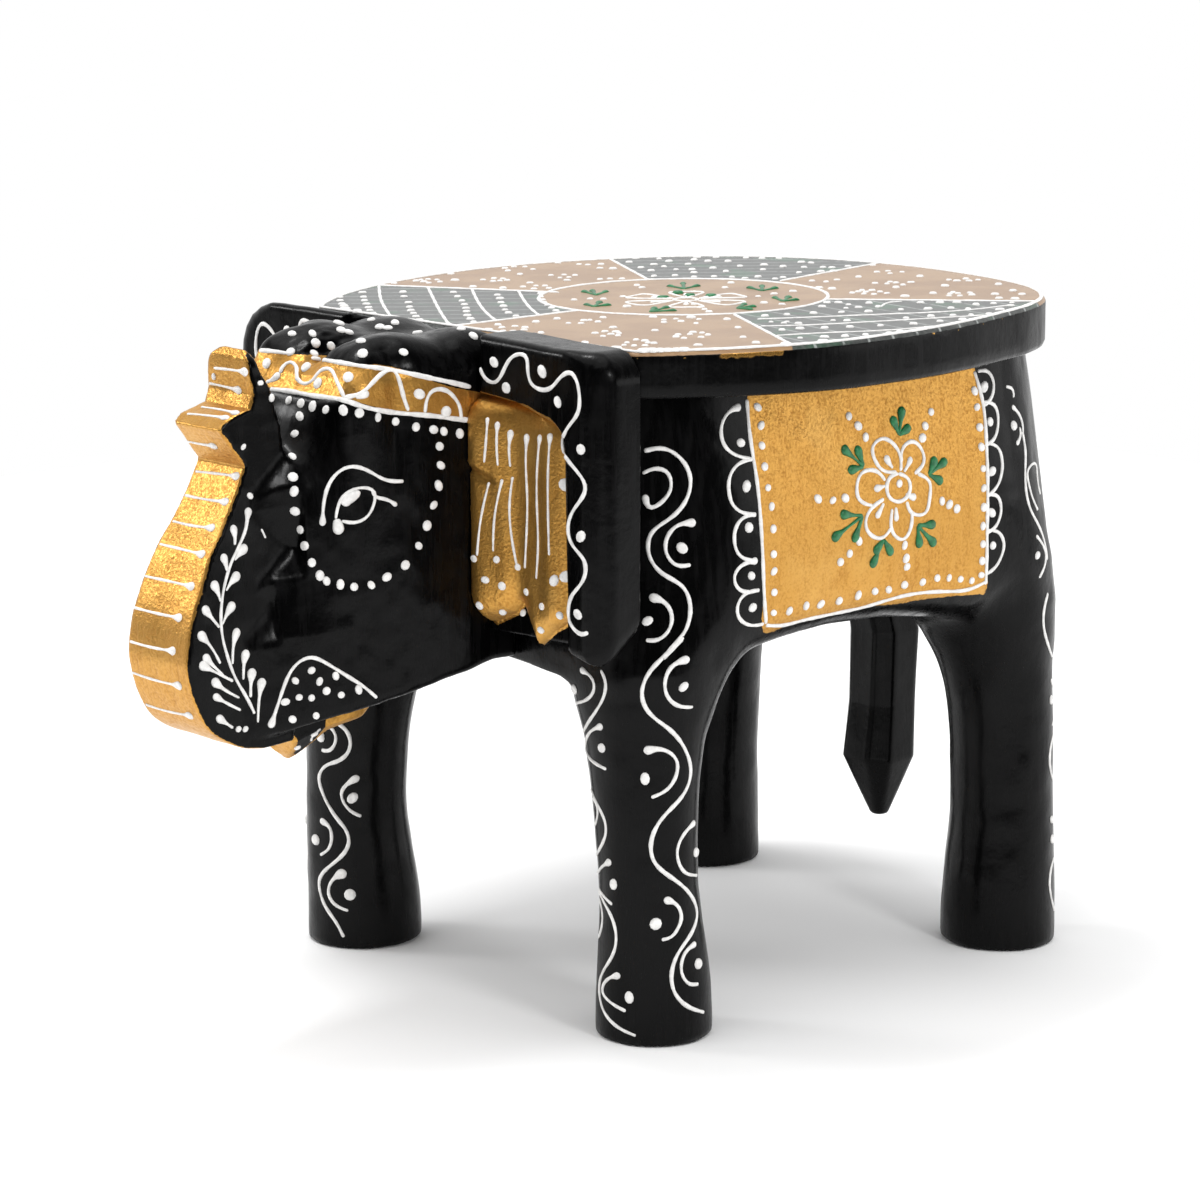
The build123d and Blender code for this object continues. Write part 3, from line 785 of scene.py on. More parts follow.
earShape = dict(
    # left ear: outline below, then the middle and radius of its outer corner, then the end of its top
    slab=((27.3, 108.5), (56, 109.2), (62, 109.6), (67, 106.4), (70.6, 103.8), (72.9, 103.4), (74.5, 104.9),
          (75, 108)),
    slabCorner=(66.5, 177.8, 8.5), slabTop=(27.3, 187.3),
    slabRight=((27.3, 108.5), (56, 108.5), (63, 110.5), (68, 107.6), (74.5, 107.1), (77.8, 109.5),
               (77.8, 171), (77.5, 176), (76, 180.3), (73.2, 183.9), (69.2, 186.3), (64, 187.6),
               (57.2, 188), (27.3, 188)),
    pocket=((20, 100), (62.8, 100), (62.6, 120), (61.8, 158), (60.6, 164.5), (57.5, 167.4), (43, 171),
            (20, 172.8)),
    pad=((20, 172.5), (36, 171.5), (48, 170.2), (56, 168.2), (59.6, 165.4), (60.8, 161), (61, 120),
         (61.2, 115.2), (58, 114.4), (53.5, 112), (47.2, 107), (43.8, 113), (41.4, 117.8), (38.6, 114.6),
         (29.6, 110.4), (20, 116)),
    front=-99.5, back=-85.0, inner=27.3, edge=1.0, soft=5.0, softX=(61, 70), roundTop=1.6, roundZ=(160, 180),
    heelLean=(0.62, 0.785), heelZ=112, heelCut=3, heelX=(64, 56), heelRound=6.0,
    softRight=2.2, slopeRight=0.26, slopeZ=(150, 180),
    turnFrom=-92.3, turnDepth=7.2, turnIn=2.3, turnX=(40, 60),
    pocketFloor=-94.8, pocketFoot=0.3, pocketEdge=0.5, giltAbove=1.5, giltPast=0.5,
    # pad: how high it stands, its swelling towards the head, pleats, and a fold across it
    lift=3.3, liftReach=2.0, swell=5.0, swellFrom=46.0, swellTo=28.0, pleat=0.12, pleatWidth=7.6,
    foldX=36.0, foldZ=151.5, foldDepth=1.5, belowDepth=0.8, padEdge=0.8,
    grain=0.14, grainSize=(8, 8, 20), cell=0.85,
)

turns = np.radians(np.arange(0, 91, 4.5))
middleX, middleZ, radius = earShape["slabCorner"]
arc = np.stack([middleX + radius * np.cos(turns), middleZ + radius * np.sin(turns)], 1)
leftSlab = [*earShape["slab"], *arc, earShape["slabTop"]]


def earField(p, slabLine=leftSlab, slope=0.0, soft=earShape["soft"]):
    s = earShape
    x, y, z = p.T
    # the border: a slab whose outside turns in towards its front, cut back at the heel
    turn = s["turnIn"] * np.clip((s["turnFrom"] - y) / s["turnDepth"], 0, 1.2) ** 2 * ramp(x, *s["turnX"])
    slab = outline(x + turn, z + (y - s["front"]) * slope * ramp(z, *s["slopeZ"]), slabLine)
    edge = s["edge"] + soft * ramp(x, *s["softX"]) + s["roundTop"] * ramp(z, *s["roundZ"])
    border = softMax(slab, s["front"] - y, edge)
    leanY, leanZ = s["heelLean"]
    heel = (y - s["back"]) * leanY - (z - s["heelZ"]) * leanZ - s["heelCut"] * ramp(x, *s["heelX"])
    border = softMax(border, heel, s["heelRound"])
    pocket = softMax(outline(x, z, s["pocket"]), y - s["pocketFloor"], s["pocketFoot"])
    border = softMax(border, -pocket, s["pocketEdge"])
    # the pad, higher inside its outline and lower below the fold
    pad = outline(x, z, s["pad"])
    lift = s["lift"] + s["swell"] * ease(ramp(x, s["swellFrom"], s["swellTo"]))
    lift = lift * (1 - np.exp(np.minimum(pad, 0) / s["liftReach"]))
    wave = np.cos((x + 0.04 * (z - 140)) * 2 * np.pi / s["pleatWidth"])
    lift = lift + s["pleat"] * wave * ramp(pad, 0, -3)
    fold = np.exp(-((z - s["foldZ"] + 0.25 * (x - 30)) / 1.3) ** 2) * ramp(x, s["foldX"], s["foldX"] - 6)
    below = ramp(z, s["foldZ"], s["foldZ"] - 2) * ramp(x, s["foldX"] + 3, s["foldX"] - 5)
    lift = lift - s["foldDepth"] * fold - s["belowDepth"] * below
    pad = softMax(pad, (s["pocketFloor"] - lift - y) * 0.9, s["padEdge"])
    d = np.minimum(border, pad) + s["grain"] * wobble(p, s["grainSize"], 4.4)
    return np.maximum(np.maximum(d, y - s["back"]), s["inner"] - x)


def earFieldRight(p):
    # the other ear is rounder outside and slopes back at the top
    s = earShape
    return earField(p * (-1, 1, 1), s["slabRight"], s["slopeRight"], s["softRight"])


def earGilt(points):
    # gold on the pad, and a little past its outline
    s = earShape
    x, y, z = points.T
    return np.where(y < s["pocketFloor"] + s["giltAbove"], -outline(x, z, s["pad"]) + s["giltPast"], -3)


earPoints, earFaces = sculpt(earField, (27, -105.5, 103), (75.2, -85, 187.5), earShape["cell"])
earTree = BVHTree.FromPolygons(earPoints.tolist(), earFaces.tolist())
piece = newPiece("earLeft", earPoints, earFaces, giltLacquer, earField, earGilt(earPoints))
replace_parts(piece, "ear_left")
points, faces = sculpt(earFieldRight, (-78.2, -105.5, 106.5), (-27, -85, 188), earShape["cell"])
gilt = earGilt(points * (-1, 1, 1))
piece = newPiece("earRight", points, faces, giltLacquer, earFieldRight, gilt)
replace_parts(piece, "ear_right")
print("lip and ears carved:", len(earFaces), "quads in each ear")

# tail

tailShape = dict(
    heights=(22.6, 41.5, 58, 80, 100, 108), half=(2.4, 9.9, 9.2, 9.4, 8.2, 7.8),
    middle=(81.6, 80.9, 82.2, 82.8, 76.5, 74), bevel=0.76, edge=0.9, grain=0.2, grainSize=(9, 9, 22),
    cell=1.0,
)


def tailField(p):
    s = tailShape
    x, y, z = p.T
    half = np.interp(z, s["heights"], s["half"])
    a, b = np.abs(x), np.abs(y - np.interp(z, s["heights"], s["middle"]))
    flat = softMax(a, b, s["edge"]) - half
    bevel = (a + b) * 0.7071 - half * s["bevel"] * 1.4142
    d = softMax(flat, bevel, s["edge"]) * 0.9
    d = softMax(d, s["heights"][0] - z, s["edge"]) + s["grain"] * wobble(p, s["grainSize"], 6.1)
    return np.maximum(d, z - s["heights"][-1])


points, faces = sculpt(tailField, (-11, 66, 22), (11, 94, 108), tailShape["cell"])
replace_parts(newPiece("tailCarving", points, faces, blackLacquer, tailField), "tail")
print("tail carved:", len(faces), "quads")


# seat: a hand-cut round board, painted in sectors

seatShape = dict(
    length=197.0, width=192.0, under=173.5, front=-84.8, edge=1.7,
    # degrees round the board, and how far it bulges there past an oval
    fullness=((0, -0.6), (12, -1.8), (24, -1), (34, 1.9), (44, 4.1), (56, 3.8), (68, 1.2), (79, -0.3),
              (90, 0), (101, 1), (117, 3.6), (134, 4.3), (150, 2.2), (164, 1), (178, 0), (195, -0.8),
              (208, 0.4), (223, 3.1), (235, 6), (252, 7.5), (272, 9), (292, 11.8), (307, 14), (317, 11.2),
              (325, 8.8), (334, 6.5), (342, 4.2), (351, 1.1), (360, -0.6)),
    lift=186.1, leanX=0.006, leanY=0.009, middle=(-1.7, 1.2), disc=40.7, slices=720,
    rings=(0.2, 0.4, 0.6, 0.75, 0.88, 0.95), edgeTurns=(0, 18, 36, 54, 72, 90), sideDrops=(3.5, 6.0, 8.5),
    wear=0.22, wearSize=(9, 9, 5), fineWear=0.07, fineSize=(3, 3, 2), wornIn=0.0026, wornShare=0.004,
)
# boundary lines of the sectors, from the rim to the disc
sectorLines = (
    ((92.0, -47.8), (36.8, -15.9)), ((77.8, 61.0), (32.2, 24.1)), ((-17.7, 97.9), (-7.5, 45.0)),
    ((-85.7, 48.8), (-38.2, 21.2)), ((-84.5, -41.6), (-34.2, -16.8)), ((-0.6, -85.2), (-0.3, -39.3)),
)


def seatTop(x, y):
    return seatShape["lift"] + seatShape["leanX"] * x + seatShape["leanY"] * y


def seatRadius(angle):
    s = seatShape
    directions, extra = np.array(s["fullness"], float).T
    along = np.stack([np.cos(angle), np.sin(angle)])
    oval = 1 / np.hypot(along[0] / (s["width"] / 2), along[1] / (s["length"] / 2))
    radius = oval + flow(np.degrees(angle) % 360, directions, extra)
    limit = np.where(along[1] < -0.05, s["front"] / np.minimum(along[1], -0.05), 1e9)
    return np.minimum(radius, limit)


def seatBoard():
    s = seatShape
    angle = np.linspace(0, 2 * np.pi, s["slices"], endpoint=False)
    radius = seatRadius(angle)
    across, up = np.cos(angle), np.sin(angle)
    r = s["edge"]
    turn = np.radians(s["edgeTurns"])
    rings = [(radius * share, 0) for share in s["rings"]]
    rings += [(radius - r * (1 - math.sin(t)), r * (1 - math.cos(t))) for t in turn]
    rings += [(radius, drop) for drop in s["sideDrops"]]
    points = []
    for reach, drop in rings:
        x, y = reach * across, reach * up
        points.append(np.stack([x, y, seatTop(x, y) - drop], 1))
    for inset, rise in ((0, r), (r * 0.3, r * 0.3), (r, 0)):
        x, y = (radius - inset) * across, (radius - inset) * up
        points.append(np.stack([x, y, np.full_like(x, s["under"] + rise)], 1))
    rows, n = len(points), s["slices"]
    board = np.concatenate(points)
    # the side is worn uneven, from just below the top's edge down to the underside
    wear = wobble(board, s["wearSize"], 2.6) * s["wear"] + wobble(board, s["fineSize"], 8.1) * s["fineWear"]
    side = np.repeat(np.arange(rows) > len(s["rings"]), n) & (board[:, 2] > s["under"] + 0.4)
    board[:, :2] *= 1 - np.where(side, s["wornIn"] + wear * s["wornShare"], 0.0)[:, None]
    faces = []
    for k in range(rows - 1):
        a = k * n + np.arange(n)
        b = k * n + (np.arange(n) + 1) % n
        faces.append(np.stack([a, a + n, b + n, b], 1))
    faces = [list(f) for f in np.concatenate(faces)]
    board = np.concatenate([board, [[0, 0, seatTop(0, 0)]], [[0, 0, s["under"]]]])
    last = (rows - 1) * n
    for i in range(n):
        j = (i + 1) % n
        faces.append([i, j, len(board) - 2])
        faces.append([last + j, last + i, len(board) - 1])
    return board, faces


seatPaint = dict(
    tan=(0.28, 0.155, 0.068), tanPale=(0.335, 0.2, 0.095), tanWorn=(0.22, 0.11, 0.042),
    dark=(0.03, 0.034, 0.032), darkPale=(0.1, 0.105, 0.1), green=(0.012, 0.11, 0.045),
    # threads of the dark sectors, front right, back and left: direction across them, and their gap
    nets=(((0.18, 0.98), 8.8), ((-0.744, 0.668), 8.0), ((-0.744, 0.668), 8.3)),
    thread=1.1, threadColour=(0.36, 0.38, 0.37), shine=0.36, dull=0.12, coat=0.95, coatShine=0.42,
    paintDepth=1.15, grain=1.1, grainDepth=0.07, cloud=16.0, cloudDepth=0.3,
    # gold shows where the edge is worn: height it starts at, half its length along the rim, and its side
    wornZ=183.9, wornHalf=8.2, wornX=60.0, chipZ=184.2,
)


def seatFinish():
    s = seatPaint
    look = Finish("seatFinish", **{**lacquerSockets, "Coat Roughness": s["coatShine"]})
    x, y, z = (wire * (1 / mm) for wire in look.axes(look.place))
    y = y - seatY

    def beyond(line, turn):
        # distance to one side of a boundary line
        (ax, ay), (bx, by) = line
        length = math.hypot(bx - ax, by - ay)
        nx, ny = (by - ay) / length * turn, -(bx - ax) / length * turn
        return x * nx + y * ny - (ax * nx + ay * ny)

    cx, cy = seatShape["middle"]
    reach = ((x - cx).math("POWER", 2.0) + (y - cy).math("POWER", 2.0)).math("SQRT")
    outside = reach - seatShape["disc"]
    threads = dark = 0.0
    ragged = (look.noise(2.2, 3.0) - 0.5) * 0.5
    for first, second, ((tx, ty), gap) in zip(sectorLines[::2], sectorLines[1::2], s["nets"]):
        sector = beyond(first, 1).math("MINIMUM", beyond(second, -1))
        sector = (sector.math("MINIMUM", outside) + ragged).step(-0.15, 0.15)
        across = x * tx + y * ty + look.noise(40.0, 1.0) * 3.0
        wave = (across * (1 / gap)).math("FRACT")
        line = (wave - 0.5).math("ABSOLUTE").step(s["thread"] / gap * 0.5, s["thread"] / gap * 0.25)
        threads = sector * line + threads
        dark = sector.math("MAXIMUM", dark)
    cloud = look.noise(s["cloud"], 4.0)
    speck = look.noise(1.3, 2.0)
    tan = look.blend(cloud.step(0.4, 0.62), s["tan"], s["tanPale"])
    tan = look.blend((1 - speck.step(0.3, 0.42)) * 0.5, tan, s["tanWorn"])
    night = look.blend(speck.step(0.38, 0.68) * 0.6, s["dark"], s["darkPale"])
    greens = look.noise(13.0, 2.0).step(0.55, 0.68) * 0.55
    night = look.blend(greens, night, s["green"])
    night = look.blend(threads * speck.step(0.25, 0.5) * 0.75, night, s["threadColour"])
    top = look.blend(dark, tan, night)
    black, blackRough, blackNormal = lacquerParts(look)
    gold = goldParts(look)[0]
    level = z - (x * seatShape["leanX"] + y * seatShape["leanY"])
    onTop = (level - (seatShape["lift"] - s["paintDepth"]) + ragged * 0.7).step(-0.12, 0.12)
    # worn edge on the left, where gold shows under the black, and small chips all round
    rimWay = (x * 0.55 + y * 0.83).math("ABSOLUTE")
    bare = (z - s["wornZ"] + ragged * 4.0).step(-0.3, 0.3)
    bare = bare * (s["wornHalf"] - rimWay + ragged * 6.0).step(-0.6, 0.6) * (x - s["wornX"]).step(0.0, 1.0)
    chips = look.noise(2.6, 2.0).step(0.69, 0.72) * (z - s["chipZ"] + ragged * 2.0).step(-0.4, 0.4)
    bare = bare.math("MAXIMUM", chips)
    side = look.blend(bare, black, gold)
    look.paint("Base Color", look.blend(onTop, side, top))
    rough = speck * s["dull"] + s["shine"]
    look.paint("Roughness", onTop * (rough - blackRough) + blackRough)
    look.paint("Metallic", bare * (1 - onTop) * goldLook["metallic"])
    look.paint("Coat Weight", onTop * (s["coat"] - lacquerLook["coat"]) + lacquerLook["coat"])
    grain = look.bump(look.noise(s["grain"], 3.0), s["grainDepth"], look.bump(cloud, s["cloudDepth"]))
    look.paint("Normal", look.blendNormal(onTop, blackNormal, grain))
    return look.material


points, faces = seatBoard()
seat = newPiece("seatBoard", points, faces, seatFinish())
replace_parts(seat, "seat_board")
print("seat made:", len(faces), "faces")

# how cone work is laid: raised strands and dots, cast from the eye through spots of the 1200 frame onto the
# wood that carries them, then settled on its skin


class Carrier:
    def __init__(self, tree, field):
        self.tree = tree
        self.field = field

    def cast(self, spots):
        # nearest point of the carrier along each ray; None where it misses
        hits = [self.tree.ray_cast(Vector(eye), Vector(direction))[0] for direction in rays(spots)]
        return [None if hit is None else np.array(hit) for hit in hits]

    def rest(self, points):
        points = settle(self.field, points, 0.8, 4)
        return points, unit(gradient(self.field, points))


class SeatCarrier(Carrier):
    # the seat is plane, so its top and rim are worked out without a mesh
    def cast(self, spots):
        directions = rays(spots)
        lean = np.array((seatShape["leanX"], seatShape["leanY"], -1.0))
        along = -(seatShape["lift"] + eye @ lean) / (directions @ lean)
        points = eye + along[:, None] * directions
        limit = seatRadius(np.arctan2(points[:, 1], points[:, 0])) - dotShape["fromRim"]
        points[:, :2] *= np.minimum(limit / np.hypot(points[:, 0], points[:, 1]), 1)[:, None]
        return list(points)

    def rest(self, points):
        points = points.copy()
        points[:, 2] = seatTop(points[:, 0], points[:, 1])
        upward = unit(np.array((-seatShape["leanX"], -seatShape["leanY"], 1.0)))
        return points, np.tile(upward, (len(points), 1))


carriers = dict(
    body=Carrier(bodyTree, bodyField), head=Carrier(headTree, headField), ear=Carrier(earTree, earField),
    lip=Carrier(lipTree, lipField), seat=SeatCarrier(None, None),
)
otherSide = {carrier: carrier for carrier in carriers.values()}        # what carries mirrored work
otherSide[carriers["ear"]] = Carrier(None, earFieldRight)


def along(points, gap):
    # a natural spline through points, read off every gap
    p = np.asarray(points, float)
    if len(p) < 3:
        steps = max(int(np.linalg.norm(p[-1] - p[0]) / gap), 1) + 1
        return p[0] + (p[-1] - p[0]) * np.linspace(0, 1, steps)[:, None]
    h = np.maximum(np.linalg.norm(np.diff(p, axis=0), axis=1), 1e-6)
    n = len(p)
    matrix, right = np.zeros((n, n)), np.zeros((n, p.shape[1]))
    matrix[0, 0] = matrix[-1, -1] = 1
    for i in range(1, n - 1):
        matrix[i, i - 1:i + 2] = h[i - 1], 2 * (h[i - 1] + h[i]), h[i]
        right[i] = 6 * ((p[i + 1] - p[i]) / h[i] - (p[i] - p[i - 1]) / h[i - 1])
    bend = np.linalg.solve(matrix, right)
    out = []
    for i in range(n - 1):
        t = np.linspace(0, h[i], max(int(h[i] / gap), 1) + 1)[:-1, None]
        a = (p[i + 1] - p[i]) / h[i] - h[i] * (2 * bend[i] + bend[i + 1]) / 6
        out.append(p[i] + a * t + bend[i] / 2 * t ** 2 + (bend[i + 1] - bend[i]) / (6 * h[i]) * t ** 3)
    return np.concatenate(out + [p[-1:]])


def tubeFaces(rows, count, start, end):
    # quads round a tube of rings, and fans that close it at the points numbered start and end
    faces = []
    for i in range(rows - 1):
        for j in range(count):
            k = (j + 1) % count
            faces.append([i * count + j, i * count + k, (i + 1) * count + k, (i + 1) * count + j])
    last = (rows - 1) * count
    for j in range(count):
        k = (j + 1) % count
        faces.append([k, j, start])
        faces.append([last + j, last + k, end])
    return faces


strandShape = dict(
    gap=1.1, sink=0.35, rise=0.46, least=0.16, most=1.0, ring=(-38, 8, 50, 90, 130, 172, 218, 270),
    headMarks=(0, 0.12, 0.4, 0.8, 1.3, 2, 2.9), afterHead=3.8, headFade=1.5, uneven=0.13, fineUneven=0.07,
)
dotShape = dict(
    sides=10, rings=((1.0, -0.35), (1.0, 0.02), (0.95, 0.5), (0.72, 0.93), (0.38, 0.98)), top=0.9, rise=0.48,
    uneven=0.13, oval=0.16, sink=0.25, fromRim=2.2,
)


class Relief:
    # collects the strands and dots of one piece into one mesh
    def __init__(self):
        self.points, self.faces = [], []
        self.count = 0

    def put(self, points, faces):
        self.points.append(points)
        self.faces += [[i + self.count for i in f] for f in faces]
        self.count += len(points)

    def strand(self, carrier, path, width, head):
        # a line of paint that starts in a rounder head; head 0 is a plain end
        s = strandShape
        walk = np.concatenate([[0], np.cumsum(np.linalg.norm(np.diff(path, axis=0), axis=1))])
        length = walk[-1]
        half = width / 2
        start = max(head / 2, half)
        if length < 2.2 * half:
            return
        marks = [mark * start for mark in s["headMarks"]]
        marks += list(np.arange(s["afterHead"] * start, length - half, s["gap"]))
        marks = [m for m in marks if m < length - half * 0.9]
        marks += [length - half * 0.6, length - half * 0.15, length]
        marks = np.unique(np.clip(marks, 0, length))
        place = np.stack([np.interp(marks, walk, axis) for axis in path.T], 1)
        place, normal = carrier.rest(place)
        tangent = unit(np.gradient(place, marks, axis=0))
        side = unit(np.cross(tangent, normal))
        up = np.cross(side, tangent)
        up *= np.sign((up * normal).sum(1, keepdims=True))
        slow = s["uneven"] * np.sin(marks * 0.55 + hand.random() * 6)
        quick = s["fineUneven"] * np.sin(marks * 1.7 + hand.random() * 6)
        radius = half * (1 + slow + quick)
        radius += (start - half) * np.exp(-np.maximum(marks - start, 0) ** 2 / (s["headFade"] * start) ** 2)
        near = np.clip(marks / start, 0, 1)
        far = np.clip((length - marks) / half, 0, 1)
        roundStart = np.sqrt(np.maximum(1 - (1 - near) ** 2, 0.03))
        roundEnd = np.sqrt(np.maximum(1 - (1 - far) ** 2, 0.06))
        radius *= roundStart * roundEnd
        rise = np.minimum(radius * s["rise"] + s["least"] * np.minimum(near, far), s["most"])
        turn = np.radians(s["ring"])
        ring = place[:, None] + side[:, None] * (radius[:, None, None] * np.cos(turn)[None, :, None])
        lift = np.where(np.sin(turn)[None] > 0, rise[:, None], s["sink"]) * np.sin(turn)[None]
        ring = ring + up[:, None] * lift[..., None]
        n, m = len(marks), len(turn)
        points = np.concatenate([ring.reshape(-1, 3), ring[:1].mean(1), ring[-1:].mean(1)])
        self.put(points, tubeFaces(n, m, n * m, n * m + 1))

    def dot(self, carrier, places, radius):
        # blobs of paint, each a little off round
        s = dotShape
        turn = np.arange(s["sides"]) / s["sides"] * 2 * np.pi
        places, normals = carrier.rest(np.array(places))
        for place, normal in zip(places, normals):
            r = radius * (1 + s["uneven"] * (hand.random() * 2 - 1))
            stretch = 1 + s["oval"] * (hand.random() * 2 - 1)
            first = unit(np.cross(normal, hand.random(3) * 2 - 1))
            second = np.cross(normal, first)
            around = np.cos(turn)[:, None] * first * stretch + np.sin(turn)[:, None] * second / stretch
            rings = [place + around * r * k + normal * r * s["rise"] * h for k, h in s["rings"]]
            ends = [place + normal * r * s["rise"] * s["top"], place - normal * r * s["sink"]]
            m, n = s["sides"], len(s["rings"])
            self.put(np.concatenate([*rings, ends]), tubeFaces(n, m, n * m + 1, n * m))

    def make(self, name, finish, slot):
        if self.count:
            newPiece(name, np.concatenate(self.points), self.faces, finish)


def layLine(relief, carrier, spots, width, head, mirrored, middle=0):
    # casts a line onto its carrier, in stretches that end where the carrier turns away;
    # what lies left of middle is repeated on the other side
    found = carrier.cast(along(spots, 2.4))
    stretch, stretches = [], []
    for point in found + [None]:
        if point is None or (stretch and np.linalg.norm(point - stretch[-1]) > 7):
            stretches.append(stretch)
            stretch = []
        if point is not None:
            stretch.append(point)
    for k, stretch in enumerate(stretches):
        if len(stretch) > 1:
            path = np.array(stretch)
            relief.strand(carrier, path, width, head if k == 0 else 0)
            path = path[path[:, 0] > middle]
            if mirrored is not None and len(path) > 1:
                mirrored.strand(otherSide[carrier], path * (-1, 1, 1), width, head if k == 0 else 0)


def layDots(relief, carrier, spots, radius, mirrored, middle=0):
    found = [p for p in carrier.cast(spots) if p is not None]
    if found:
        relief.dot(carrier, found, radius)
        found = [p for p in found if p[0] > middle]
        if mirrored is not None and found:
            mirrored.dot(otherSide[carrier], np.array(found) * (-1, 1, 1), radius)


# cone work: a line gives its width, the width of its head, then x and y of its spots in the 1200 frame
# one after another; dots give x and y in the same way, and dot is the radius of all of them

pieces = {}


def relief(name):
    return pieces.setdefault(name, Relief()) if name else None


def layWork(work):
    # the piece called left gets the work itself, the one called right repeats it on the other side
    left, right = relief(work["left"]), relief(work.get("right"))
    carrier = carriers[work["on"]]
    middle = work.get("middle", 0)
    for width, head, *spots in work.get("lines", ()):
        layLine(left, carrier, np.reshape(spots, (-1, 2)), width, head, right, middle)
    if "dots" in work:
        layDots(left, carrier, np.reshape(work["dots"], (-1, 2)), work["dot"], right, middle)


def laySprigs(work):
    # a sprig is three drops that meet: first the spot where they meet, then their tips
    left, right = relief(work["left"]), relief(work.get("right"))
    for base, *tips in np.reshape(work["sprigs"], (-1, 4, 2)):
        for tip in tips:
            spots = [tip, (tip + base) / 2, base]
            layLine(left, carriers[work["on"]], spots, work["width"], work["head"], right)


# border of the gold cloth on the flanks
saddleWork = dict(left="saddleTrimLeft", right="saddleTrimRight", on="body", dot=1.15, lines=[
    (1.2, 0, 746.8, 399.3, 749.6, 433, 753.3, 458.2, 757.5, 486.3, 760.3, 517.1, 762.6, 556.4, 764, 592.9,
     765.9, 623.8),
    (1.2, 0, 765.9, 625.2, 780, 625.5, 799.6, 621, 822, 615.9, 844.5, 611.2, 861.3, 607.5, 878.2, 602.7,
     906.2, 595.2, 923.1, 592.6, 942.7, 591.5, 970.8, 588.7, 985.6, 581.7),
    (1.2, 0, 974.1, 371.2, 982, 399.3, 984.8, 418.9, 986.2, 441.4, 987.6, 486.3, 987, 528.4, 986.5, 562,
     985.6, 584.5),
], dots=[
    757.5, 407.1, 760.9, 425.4, 761.7, 445.6, 764.5, 466.6, 767.9, 487.7, 771.5, 506.5, 773.2, 528.9, 773.5,
    554.2, 773.8, 571.3, 774.1, 592.3, 773.5, 612.8, 789.2, 610.9, 806, 605.8, 820.6, 604.1, 838.9, 600.8,
    858, 595.2, 874.8, 591.2, 888.5, 589.5, 904.3, 584.8, 922.5, 582, 937.1, 578, 948.9, 577.8, 960.4,
    579.2, 971.6, 580.6, 974.4, 390.9, 976.9, 407.1, 979.5, 427.3, 981.2, 447, 983.1, 468.6, 983.7, 488.2,
    983.7, 507.3, 982.8, 526.1, 982.8, 544.1, 982, 560.9, 981.2, 575
])
layWork(saddleWork)

# loops beside the cloth
scallopWork = dict(left="scallopsLeft", right="scallopsRight", on="body", dot=1.35, lines=[
    (1.04, 2.2, 740.7, 406.3, 730.8, 410.5, 723.3, 420.3, 721, 431.6, 723.8, 444.2, 733.6, 454, 750.5,
     458.8),
    (1.04, 0, 752.5, 458.8, 737.9, 464.4, 729.4, 477.9, 728.9, 491.9, 733.6, 505.9, 743.5, 512.9, 756.1,
     514.3),
    (1.04, 0, 756.1, 514.9, 743.5, 517.7, 735.6, 528.4, 734.5, 542.4, 739.3, 555, 747.7, 559.8, 757.5,
     560.6),
    (1.04, 2, 757.5, 560.6, 743.5, 564.3, 734.5, 576.1, 735.6, 584.5, 741.2, 590.7, 751.9, 591.8),
    (1.04, 0, 759.5, 590.1, 744.9, 594.3, 737.3, 606.9, 739.3, 618.2, 747.7, 624.6, 763.7, 623.8),
    (1.04, 0, 977.8, 371.2, 986.2, 370.7, 992.7, 379.6, 993.2, 390.9, 988.2, 402.1, 982.6, 406.3),
    (1.04, 0, 983.7, 402.1, 993.2, 404.3, 997.7, 416.1, 997.1, 430.2, 991.8, 441.4, 984.8, 445.6),
    (1.04, 0, 987, 443.1, 996.6, 446.4, 1001.6, 458.2, 1001.1, 475.1, 996, 487.7, 988.2, 496.1),
    (1.04, 0, 988.2, 494.7, 996, 495.3, 1000.8, 505.9, 998.8, 520, 993.8, 528.4, 987, 532.6),
    (1.04, 0, 987.6, 530.6, 997.4, 531.7, 1003.6, 542.4, 1001.1, 556.4, 994.6, 567.7, 987, 573.8),
], dots=[
    740.7, 442.8, 746.3, 486.3, 748.8, 527.5, 751.3, 575.8, 752.5, 607.5, 984, 386.9, 989.9, 421.7, 991.8,
    471.4, 991.5, 512.7, 992.7, 545.5
])
layWork(scallopWork)

